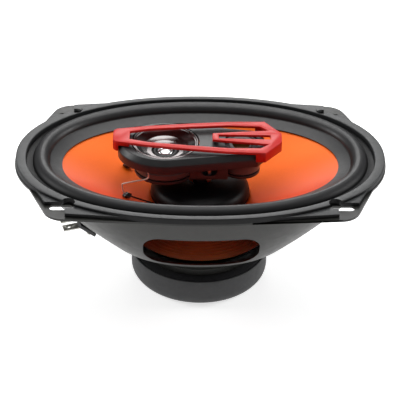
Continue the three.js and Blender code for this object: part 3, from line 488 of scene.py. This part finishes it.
def makeLead(name, node, points, s):
    fine = 3  # tube rings to each point of the cord's path
    route = smoothRoute([Vector(point) * millimetre for point in points], 3 * fine)
    lead = dress(tube(name, route, s["diameter"] / 2 * millimetre), "tinnedBraid", "tinned", None, node)
    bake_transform(lead)
    path = route[::fine]
    length = sum((b - a).length for a, b in zip(path, path[1:]))
    print(name, "length", round(length, 4))


for side, end in ((1, "front"), (-1, "back")):
    makeLead(f"tweeterLead_{end}", f"tweeter_lead_{end}", [(x, y * side, z) for x, y, z in leadSet["route"]],
             leadSet)
    makeLead(f"coneLead_{end}", f"cone_lead_{end}", coneLeadSet[end], coneLeadSet)
print("leads made")

flangeSet = {"ringLong": 118.5, "ringShort": 76.7, "rimLong": 6.7, "rimShort": 4.2, "screwLong": 82.5,
             "screwShort": 57.3, "slotWidth": 5.6, "slotReach": 9.0, "recess": 4.4, "earRadius": 13.2,
             "earShift": 2.4, "slant": 11.5, "wingHeight": 2.1, "wingEdge": 0.35, "earInset": 3.0,
             "endInset": 1.3, "notchOffset": 1.5, "notchReach": 30, "notchHeight": 9, "notchRise": 2,
             "shy": 0.8, "margin": 0.6, "ringEdge": 1.0, "lap": 1}
quarters = ((1, 1), (-1, 1), (-1, -1), (1, -1))


def earedOutline(s, earInset, endInset, sideInset):  # slanted ends and a round ear at each slot
    steps = 14
    endX = ovalPoint(s["ringLong"], s["ringShort"], math.asin(s["slant"] / s["ringShort"]))[0]
    centre, radius = Vector((s["screwLong"] + s["earShift"], s["screwShort"])), s["earRadius"] - earInset
    first, last = Vector((endX - endInset, s["slant"])), Vector((0, s["ringShort"] - sideInset))

    def tangent(point, turn):
        away = point - centre
        return math.atan2(away.y, away.x) + turn * math.acos(radius / away.length)

    start, end = tangent(first, 1), tangent(last, -1)
    arc = [centre + radius * Vector((math.cos(a), math.sin(a)))
           for a in (start + (end - start) * i / steps for i in range(steps + 1))]
    quarter = [first, *arc, last]
    points = []
    for x, y in quarters:
        placed = [(p.x * x, p.y * y) for p in quarter]
        points += placed if x * y > 0 else placed[::-1]
    return [p for p, q in zip(points, points[1:] + points[:1]) if math.dist(p, q) > weldReach]


def ovalOutline(long, short):
    return [ovalPoint(long, short, 2 * math.pi * i / ovalSteps) for i in range(ovalSteps)]


# The neck's points go outwards and up from its edge; the shelf's foot lies inside and below the shelf.
basketSet = {"sheet": 1.4, "bend": 1.6, "depth": 58.1, "seatBore": 18.5, "neck": 40.0,
             "neckPoints": [(-1, 0), (0.6, 3.6), (4, 8)], "shelfFoot": (9, 4, 1.4), "shelfLong": 62.0,
             "shelfShort": 52.5, "shelfRise": 11.7, "wallLong": 111.0, "wallShort": 75.0, "bow": 3.0,
             "windowWidth": 73.0, "windowRise": 14.5, "windowHeight": 28.0, "windowCorner": 11.0,
             "windowAt": 60, "windowCut": 50, "openingLong": 107.5, "openingShort": 70.0,
             "drainLong": 70.5, "drainShort": 50.0, "drainDrop": 10.0, "drainSize": (5, 12, 2.4),
             "boardPlace": (-74.55, -14.0, 48.5), "boardTurn": 0.248, "boardLean": 0.858,
             "boardHole": (8, 17, 12), "boardGap": 1}


def makeBasket(s, f):
    seatZ = heights("basket")[0]
    flangeZ, shelfZ = seatZ + s["depth"], seatZ + s["shelfRise"]
    wall = [(s["neck"] + out, s["neck"] + out, seatZ + up) for out, up in s["neckPoints"]]
    inLong, inShort, down = s["shelfFoot"]
    wall += [(s["shelfLong"] - inLong, s["shelfShort"] - inShort, shelfZ - down),
             (s["shelfLong"], s["shelfShort"], shelfZ)]
    steps = 14
    for i in range(1, steps + 1):  # the bowed wall up to the flange
        share = i / steps
        out = s["bow"] * 4 * share * (1 - share)
        wall.append((s["shelfLong"] + (s["wallLong"] - s["shelfLong"]) * share + out,
                     s["shelfShort"] + (s["wallShort"] - s["shelfShort"]) * share + out / 2,
                     shelfZ + (flangeZ + s["sheet"] / 2 - shelfZ) * share))
    face = softened([(s["seatBore"], s["seatBore"], seatZ), *wall], s["bend"], 4)
    basket = makeObject("basket_fine", ovalSpin(face + offsetOvals(face, s["sheet"])[::-1]))
    flange = makeObject("flange", plate(earedOutline(f, 0, 0, f["shy"]), flangeZ, s["sheet"]))
    carve(flange, plate(ovalOutline(f["ringLong"] + f["margin"], f["ringShort"] - f["shy"]), flangeZ,
                        s["sheet"]), "UNION")
    carve(flange, plate(ovalOutline(s["openingLong"], s["openingShort"]), flangeZ - 2, cutHeight))
    step = basket.modifiers.new("flange", "BOOLEAN")
    step.object, step.operation, step.solver = flange, "UNION", "EXACT"
    settled(basket)
    bpy.data.objects.remove(flange)
    cuts = bmesh.new()
    for side in (1, -1):
        addBox(cuts, (s["windowWidth"], s["windowCut"], s["windowHeight"]),
               (0, side * s["windowAt"], seatZ + s["windowRise"] + s["windowHeight"] / 2), cornerAxis=1,
               corner=s["windowCorner"])
    for x, y in quarters:
        addSlot(cuts, f, x, y, flangeZ)
        addBox(cuts, s["drainSize"], (s["drainLong"] * x, s["drainShort"] * y, flangeZ - s["drainDrop"]))
    turn = Matrix.Rotation(math.pi + s["boardTurn"], 4, "Z") @ Matrix.Rotation(
        math.pi / 2 + s["boardLean"], 4, "Y")
    behind = turn @ Vector((s["boardGap"], 0, 0))
    addBox(cuts, s["boardHole"], Vector(s["boardPlace"]) + behind, turn)
    carve(basket, cuts)
    return dress(basket, "satinSteel", "steel_black", "frame", "basket")


def addSlot(bm, f, x, y, z):  # its ends are all but half round
    width, reach = f["slotWidth"], f["slotReach"]
    addBox(bm, (reach + width, width, cutHeight), ((f["screwLong"] + reach / 2) * x, f["screwShort"] * y, z),
           cornerAxis=2, corner=width / 2 - 0.05, segments=10)


makeBasket(basketSet, flangeSet)
print("basket made")


def makeRing(s):
    bottom, top = heights("trim_ring")
    innerLong, innerShort = s["ringLong"] - s["rimLong"], s["ringShort"] - s["rimShort"]
    face = [(s["ringLong"], s["ringShort"], bottom), (s["ringLong"], s["ringShort"], top),
            (innerLong, innerShort, top), (innerLong, innerShort, bottom)]
    ring = makeObject("trimRing_fine", ovalSpin(softened(face, s["ringEdge"])))
    wings = plate(earedOutline(s, s["earInset"], s["endInset"], 0), bottom, s["wingHeight"])
    softEdges(wings, s["wingEdge"], 60, where=lambda co: co.z > bottom + s["wingHeight"] / 2)
    plates = makeObject("wings", wings)
    carve(plates, plate(ovalOutline(innerLong + s["lap"], innerShort + s["lap"]), bottom - 1, cutHeight))
    notches, reach = bmesh.new(), s["notchReach"]
    for x, y in quarters:
        near = ((s["screwLong"] + s["notchOffset"]) * x, (s["screwShort"] - s["slotWidth"] / 2) * y)
        addBox(notches, (2 * reach, 2 * reach, s["notchHeight"]),
               (near[0] + reach * x, near[1] + reach * y, bottom + s["notchRise"]))
    carve(plates, notches)
    step = ring.modifiers.new("wings", "BOOLEAN")
    step.object, step.operation, step.solver = plates, "UNION", "EXACT"
    settled(ring)
    bpy.data.objects.remove(plates)
    pockets = bmesh.new()
    for x, y in quarters:
        addDisc(pockets, s["recess"], (s["screwLong"] * x, s["screwShort"] * y, bottom), 20)
    carve(ring, pockets)
    dress(ring, "ringSatin", "ring_black", "frame", "trim_ring")
    ring.data.materials.append(looks["ringShadedSide"])
    for face in ring.data.polygons:  # the outer walls take a darker copy of the finish, painted shade
        if abs(face.normal.z) < 0.5 and face.normal.xy.dot(face.center.xy) > 0:
            face.material_index = 1


makeRing(flangeSet)
print("ring made")

# The heel is the roll's outer foot and the toe its inner one.
rollSet = {"rollLong": 102.2, "rollShort": 64.7, "radius": 5.3, "skin": 0.8, "landingLong": 111.3,
           "landingShort": 72.0, "edgeLong": 88.8, "edgeShort": 51.3, "drop": 2.6, "heel": 0.2,
           "heelAngle": 0.17, "toe": 0.6, "toeRise": 0.1, "toeAngle": 0.1, "stretchRise": 0.2}


def makeSurround(s):
    rollZ = heights("surround")[1] - s["radius"]
    steps = 22

    def rollPart(first, last):
        return [(s["rollLong"] + s["radius"] * math.cos(a), s["rollShort"] + s["radius"] * math.cos(a),
                 rollZ + s["radius"] * math.sin(a))
                for a in (first + (last - first) * i / steps for i in range(steps + 1))]

    heel, toe = s["radius"] + s["heel"], s["radius"] + s["toe"]
    outer = [(s["landingLong"], s["landingShort"], rollZ + s["skin"]),
             (s["rollLong"] + heel, s["rollShort"] + heel, rollZ + s["skin"]),
             *rollPart(s["heelAngle"], math.pi / 2)]
    inner = [*rollPart(math.pi / 2, math.pi - s["toeAngle"]),
             (s["rollLong"] - toe, s["rollShort"] - toe, rollZ + s["toeRise"]),
             (s["edgeLong"], s["edgeShort"], rollZ - s["drop"])]
    halves = {"surroundOuter": outer, "surroundInner": inner}
    for name, face in halves.items():
        line = face[::-1]
        made = makeObject(name, ovalSpin(line + offsetOvals(line, -s["skin"])[::-1]))
        if name == "surroundOuter":
            dress(made, "shadedCrestRubber", "surround_black", "frame", "surround", smooth=60)
        else:
            dress(made, "rollRubber", "surround_black", None, "surround", smooth=60)
            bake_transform(made)


makeSurround(rollSet)
print("surround made")

# The cap's side is given by how far in it lies and by its share of the cap's height.
coneSet = {"neck": 16.6, "neckZ": 44.2, "footZ": 60.2, "capRadius": 32.3, "wall": 0.9, "edgeDrop": 1.35,
           "flareLong": 95.7, "flareShort": 58.2, "flareDrop": 1.25, "bend": 1.0, "capHeight": 11.0,
           "capLift": 0.6, "capSide": [(0, 0), (0.4, 0.4), (2.6, 0.72), (8, 0.92), (15, 1)],
           "capCrown": 0.3, "capBore": 8.0, "capWall": 0.8, "capBend": 2.4}


def makeCone(s, roll):
    rollZ = heights("surround")[1] - roll["radius"]
    edgeZ = rollZ - roll["drop"] - s["edgeDrop"]
    face = softened([(s["neck"], s["neck"], s["neckZ"]), (s["capRadius"], s["capRadius"], s["footZ"]),
                     (roll["edgeLong"], roll["edgeShort"], edgeZ),
                     (s["flareLong"], s["flareShort"], rollZ - s["flareDrop"])], s["bend"], 3)
    cone = makeObject("cone_fine", ovalSpin(face + offsetOvals(face, -s["wall"])[::-1]))
    dress(cone, "orangeFilm", "cone_orange", "cone_assembly", "cone")
    z, tall = s["footZ"] + s["capLift"], s["capHeight"]
    side = [(s["capRadius"] - inward, z + share * tall) for inward, share in s["capSide"]]
    side.append((s["capBore"], z + tall + s["capCrown"]))
    side = softened([(out, out, up) for out, up in side], s["capBend"], 6)
    cap = makeObject("dustCap_fine", ovalSpin(side + offsetOvals(side, s["capWall"])[::-1], 120))
    dress(cap, "capGloss", "cap_black", "cone_assembly", "dust_cap", smooth=60)


makeCone(coneSet, rollSet)
print("cone and dust cap made")

spiderSet = {"outer": 48.0, "inner": 15.4, "flat": 3.0, "waves": 9, "height": 0.75, "wall": 0.5,
             "lift": 1.7, "climb": 0.8, "sectors": 8, "fixed": 44.0}


def sectorPieces(name, line, look, slot, nodes, count, x=0.0, steps=16):
    # a round soft piece made in equal sectors
    for i in range(count):
        made = makeObject(f"{name}_{i + 1}", turned(line, steps, x, sweep=360 / count, start=i * 360 / count))
        dress(made, look, slot, None, *nodes, smooth=60)
        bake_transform(made)


def makeSpider(s):
    z = heights("spider")[0] + s["lift"]
    start, steps = s["outer"] - s["flat"], s["waves"] * 8
    line = [(s["outer"], z)]
    for i in range(steps + 1):
        share = i / steps
        line.append((start + (s["inner"] + 1 - start) * share,
                     z + s["height"] * math.sin(share * s["waves"] * 2 * math.pi) + s["climb"] * share))
    line.append((s["inner"], z + s["climb"]))
    closed = line + [(r, h - s["wall"]) for r, h in reversed(line)]
    sectorPieces("spider", closed, "spiderCloth", "spider_cloth", ["spider"], s["sectors"])


makeSpider(spiderSet)
print("spider made")

# The rim's points are given by how far in and how far down they lie.
bootSet = {"radius": 44.8, "corner": 8.5, "wall": 1.5, "hole": 18.0, "rimDrop": 0.6,
           "rim": [(0.3, 0.1), (0.75, 0), (1.2, 0.1)]}


def makeBoot(s):
    top = heights("magnet_boot")[1]

    def corner(radius):
        centre = s["radius"] - s["corner"]
        return [(centre + radius * math.sin(a), s["corner"] - radius * math.cos(a))
                for a in (math.pi / 2 * i / 12 for i in range(13))]

    edge = [(0, s["rimDrop"]), *s["rim"], (s["wall"], s["rimDrop"])]
    rim = [(s["radius"] - inward, top - down) for inward, down in edge]
    line = [(s["hole"], 0), *corner(s["corner"]), *rim, *corner(s["corner"] - s["wall"])[::-1],
            (s["hole"], s["wall"])]
    boot = makeObject("magnetBoot_fine", turned(line, 144))
    dress(boot, "bootRubber", "boot_black", "frame", "magnet_boot")


makeBoot(bootSet)
print("magnet boot made")

# The rims of the horn and the face are given by how far in and down they lie, the rest of their
# profiles by how far out from the bore and up.
bridgeSet = {"tweeterX": -22.7, "cupRadius": 20.0, "cupWall": 1.2, "roundEnd": 25.6, "roundReach": 30.5,
             "narrowHalf": 16.2, "narrowX": 36.0, "tipX": 42.0, "tipHalf": 8.0, "deck": 2.0,
             "skirtWall": 1.6, "chamferIn": 2.4, "chamferDown": 3.5, "edge": 0.5, "boreFit": 0.3,
             "boreHeight": 14, "cupFloor": 1.5, "cupEdge": 1.2, "grooveLow": 4.6, "grooveHigh": 6,
             "groove": 0.35, "grooveSlope": 0.4, "hornRadius": 21.6, "hornLift": 0.3, "throat": 3.3,
             "hornBack": [(0, 0.1), (1.3, 0.3), (7, 2)], "hornSeat": 1.6,
             "hornRim": [(0, 0.6), (0.6, 0), (1.2, 0), (1.7, 0.7), (2.2, 0.4)], "hornStep": (1.4, 2),
             "hornFront": [(6.7, 2.9), (3, 1.5), (1.1, 1.1), (0, 0.9)], "superX": 26.0,
             "superRadius": 12.4, "superEdge": 1, "superWall": 1.2, "superFace": 11.0, "faceBore": 5.5,
             "faceRim": [(0, 0.6), (0.6, 0), (1.4, 0), (1.9, 0.6)], "faceDish": [(1.9, 1), (0, 0.8)],
             "domeRadius": 5.2, "domeRise": 2, "domeWall": 0.5, "domeSkirt": 4, "domeDrop": 0.1,
             "pleatGap": 0.3, "pleatWidth": 2.7, "pleatRise": 0.9, "pleatWall": 0.35,
             "pleatSectors": 4, "pleatFixed": 5.7, "pleatMoving": 3.9}


def teardrop(s, inset, steps=56):
    radius, half = s["roundEnd"] - inset, s["narrowHalf"] - inset
    tangent = math.acos((half - radius) / (s["narrowX"] - s["tweeterX"])) - math.pi / 2
    start = math.pi / 2 - abs(tangent)
    points = []
    for i in range(steps + 1):
        angle = start + (2 * math.pi - 2 * start) * i / steps
        reach = s["roundReach"] - inset if math.cos(angle) < 0 else radius
        points.append((s["tweeterX"] + reach * math.cos(angle), radius * math.sin(angle)))
    side, tip = s["narrowX"] - inset * 0.4, s["tipX"] - inset
    return points + [(side, -half), (tip, inset / 2 - s["tipHalf"]), (tip, s["tipHalf"] - inset / 2),
                     (side, half)]


def makeHousing(s):
    bottom, top = heights("bridge_housing")
    body = plate(teardrop(s, 0), bottom, top - bottom - s["chamferDown"])
    lid = max(body.faces, key=lambda f: f.calc_center_median().z)
    bmesh.ops.inset_region(body, faces=[lid], thickness=s["chamferIn"], use_even_offset=True)
    bmesh.ops.translate(body, verts=lid.verts, vec=(0, 0, s["chamferDown"]))
    softEdges(body, s["edge"], 25, 4)
    housing = makeObject("bridgeHousing_fine", body)
    carve(housing, plate(teardrop(s, s["skirtWall"] + s["chamferIn"] * 0.6), bottom - 1,
                         top - bottom + 1 - s["deck"]))
    holes = bmesh.new()
    addDisc(holes, s["hornRadius"] + s["boreFit"], (s["tweeterX"], 0, top), s["boreHeight"], 96)
    addDisc(holes, s["superFace"] + s["boreFit"], (s["superX"], 0, top), s["boreHeight"], 72)
    carve(housing, holes)
    dress(housing, "housingBlack", "housing_black", "frame", "bridge_housing", smooth=30)


makeHousing(bridgeSet)


def refined(node, name, softness, look, slot):  # a CAD piece with softened edges
    bm = bmesh.new()
    bm.from_mesh(frame["nodes"][node].data)
    bmesh.ops.remove_doubles(bm, verts=bm.verts, dist=tiny)
    bmesh.ops.dissolve_limit(bm, angle_limit=math.radians(1), verts=bm.verts, edges=bm.edges)
    piece = makeObject(name, bm, 1.0)
    step = piece.modifiers.new("soft edges", "BEVEL")
    step.width, step.segments, step.limit_method = softness * millimetre, 2, "ANGLE"
    step.angle_limit, step.use_clamp_overlap = math.radians(30), True
    settled(piece)
    dress(piece, look, slot, "frame", node, smooth=35)


# Each CAD piece, with its new name, how far its edges are softened, its finish and its slot.
refinedSet = {
    "tweeter_trim": ("tweeterTrim_fine", 0.35, "redGloss", "trim_red"),
    "bridge_base": ("bridgeBase_fine", 0.2, "housingBlack", "housing_black"),
    "terminal_board": ("terminalBoard_fine", 0.3, "housingBlack", "housing_black"),
    "terminal_wide": ("terminalWide_fine", 0.12, "zinc", "zinc"),
    "terminal_narrow": ("terminalNarrow_fine", 0.12, "zinc", "zinc"),
    "tweeter_lug_front": ("tweeterLug_front_fine", 0.3, "tinnedBraid", "tinned"),
    "tweeter_lug_back": ("tweeterLug_back_fine", 0.3, "tinnedBraid", "tinned"),
}
for node, entry in refinedSet.items():
    refined(node, *entry)
print("housing, trim and terminals made")


def closedTurn(name, points, look, slot, node, x, soft):  # a round piece of the frame, with soft corners
    line = [(out, out, up) for out, up in points]
    if points[0][0] > 0:
        line = softened([*line, line[0]], soft, 3)[:-1]
    else:
        line = softened(line, soft, 3)
    bm = ovalSpin(line, 96)
    bmesh.ops.translate(bm, verts=bm.verts, vec=(x, 0, 0))
    dress(makeObject(name, bm), look, slot, "frame", node)


def makeTweeter(s):
    x, r, floor = s["tweeterX"], s["cupRadius"], s["cupFloor"]
    low, high = heights("tweeter_cup")
    inside, grooved, slope = r - s["cupWall"], r - s["groove"], s["grooveSlope"]
    grooveLow, grooveHigh = low + s["grooveLow"], low + s["grooveHigh"]
    closedTurn("tweeterCup_fine", [(0, low), (r - s["cupEdge"], low), (r, low + s["cupEdge"]), (r, grooveLow),
                                   (grooved, grooveLow + slope), (grooved, grooveHigh - slope),
                                   (r, grooveHigh), (r, high), (inside, high), (inside, low + floor),
                                   (0, low + floor)],
               "litTubBlack", "housing_black", "tweeter_cup", x, 0.3)
    bottom, top = heights("tweeter_horn")
    domeZ, seatZ, outer = bottom - s["domeDrop"], high + s["hornLift"], s["hornRadius"]
    inner, (stepIn, stepUp) = s["domeRadius"] + s["throat"], s["hornStep"]
    back = [(inner + out, domeZ + up) for out, up in s["hornBack"]]
    rim = [(outer - inward, top - down) for inward, down in s["hornRim"]]
    front = [(inner + out, domeZ + up) for out, up in s["hornFront"]]
    closedTurn("tweeterHorn_fine", [*back, (r - s["hornSeat"], seatZ), (outer, seatZ), *rim,
                                    (r - stepIn, seatZ + stepUp), *front],
               "shadedHornChrome", "chrome", "tweeter_horn", x, 0.7)
    makeDome(s, domeZ)
    low = heights("tweeter_suspension")[0]
    pleat = [(s["domeRadius"] + s["pleatGap"] + s["pleatWidth"] * i / 10,
              low + s["pleatRise"] * math.sin(math.pi * i / 10)) for i in range(11)]
    ring = pleat + [(out, up + s["pleatWall"]) for out, up in reversed(pleat)]
    sectorPieces("tweeterSuspension", ring, "rollRubber", "cap_black", ["tweeter_suspension"],
                 s["pleatSectors"], x, 14)


def makeDome(s, z):
    radius, wall, rise, foot = s["domeRadius"], s["domeWall"], s["domeRise"], z - s["domeSkirt"]
    arc = [(radius * math.cos(a), z + rise * math.sin(a)) for a in (math.pi / 2 * i / 12 for i in range(13))]
    shell = [(0, z + rise - wall)] + [(max(out - wall, 0.01), up - wall) for out, up in arc[-2:0:-1]]
    line = shell + [(radius - wall, foot), (radius, foot)] + arc[:-1] + [(0, z + rise)]
    dome = makeObject("tweeterDome_fine", turned(line, 64, s["tweeterX"]))
    dress(dome, "chrome", "chrome", "tweeter_diaphragm", "tweeter_dome", smooth=60)


def makeSuperTweeter(s):
    x, r, edge, floor = s["superX"], s["superRadius"], s["superEdge"], s["cupFloor"]
    low, high = heights("super_tweeter_cup")
    inside = r - s["superWall"]
    closedTurn("superTweeterCup_fine", [(0, low), (r - edge, low), (r, low + edge), (r, high), (inside, high),
                                        (inside, low + floor), (0, low + floor)],
               "litTubBlack", "housing_black", "super_tweeter_cup", x, 0.3)
    low, high = heights("super_tweeter_face")
    face, bore = s["superFace"], s["faceBore"]
    rim = [(face - inward, high - down) for inward, down in s["faceRim"]]
    dish = [(bore + out, low + up) for out, up in s["faceDish"]]
    closedTurn("superTweeterFace_fine", [(bore, low), (face, low), *rim, *dish],
               "shadedDarkChrome", "chrome", "super_tweeter_face", x, 0.35)


makeTweeter(bridgeSet)
makeSuperTweeter(bridgeSet)
print("tweeters made")

glueSet = {"x": -47.0, "y": 18.5, "wide": 3.1, "deep": 0.8, "tall": 1.7, "sunk": 0.3, "uneven": 0.13,
           "lumps": (1.9, 2.3)}


def makeGlue(s):
    for side, end in ((-1, "front"), (1, "back")):
        centre = (s["x"], s["y"] * side, heights(f"eyelet_{end}")[1] - s["sunk"])
        bm = bmesh.new()
        bmesh.ops.create_icosphere(bm, subdivisions=4, radius=1,
                                   matrix=Matrix.Translation(centre) @ Matrix.Diagonal(
                                       (s["wide"], s["wide"] * s["deep"], s["tall"], 1)))
        for vert in bm.verts:  # an uneven, hand-laid drop
            off = vert.co - Vector(centre)
            lump = math.sin(s["lumps"][0] * off.x + side) * math.cos(s["lumps"][1] * off.y)
            vert.co += off * s["uneven"] * lump
        dress(makeObject(f"glue_{end}", bm), "glue", "cap_black", "cone_assembly", smooth=60)


makeGlue(glueSet)

# The other CAD pieces keep their shape and take a finish.
keptLooks = {"steel_black": "satinSteel", "housing_black": "housingBlack", "zinc": "zinc",
             "ferrite": "ferrite", "copper": "copper", "former_film": "amberFilm", "cap_black": "capGloss"}
slots = {row["node"]: row["material_slot"] for row in frame["record"]["subparts"]}
for name, node in frame["nodes"].items():
    if not node.hide_render:
        node.data.materials.clear()
        node.data.materials.append(looks[keptLooks[slots[name]]])
print("kept pieces finished")

# In metres and watts. The floor lies just under the object and glows a little.
studioSet = {"floor": (0.9, 0.9, 0.9), "size": 4, "drop": 0.0002, "glow": 0.62, "world": 0.3,
             "aim": (0, 0, 0.06),
             "lamps": [("top", (0.0, 0.35, 1.15), 0.9, 9.0), ("left", (-1.1, 0.1, 0.6), 0.5, 5.0),
                       ("right", (1.1, 0.1, 0.6), 0.5, 5.0), ("behind", (0.0, 1.25, 0.72), 0.7, 5.0)]}


def makeStudio(s):
    bm = bmesh.new()
    bmesh.ops.create_grid(bm, x_segments=1, y_segments=1, size=s["size"])
    floor = makeObject("floor", bm, 1.0)
    material, pen = startMaterial("paper")[:2]
    floor.data.materials.append(endMaterial(material, pen, Base_Color=(*s["floor"], 1), Roughness=0.9,
                                            Emission_Color=(1, 1, 1, 1), Emission_Strength=s["glow"]))
    floor.data.transform(Matrix.Translation((0, 0, -s["drop"])))
    for name, place, size, power in s["lamps"]:
        data = bpy.data.lights.new(name, "AREA")
        data.size, data.energy = size, power
        lamp = bpy.data.objects.new(name, data)
        bpy.context.scene.collection.objects.link(lamp)
        lamp.location = place
        lamp.rotation_euler = (Vector(s["aim"]) - Vector(place)).to_track_quat("-Z", "Y").to_euler()
    world = bpy.data.worlds.new("studio")
    world.use_nodes = True
    sky = world.node_tree.nodes["Background"].inputs
    sky["Color"].default_value, sky["Strength"].default_value = (1, 1, 1, 1), s["world"]
    bpy.context.scene.world = world
    bpy.context.scene.view_settings.view_transform = "Standard"


makeStudio(studioSet)
print("studio made")
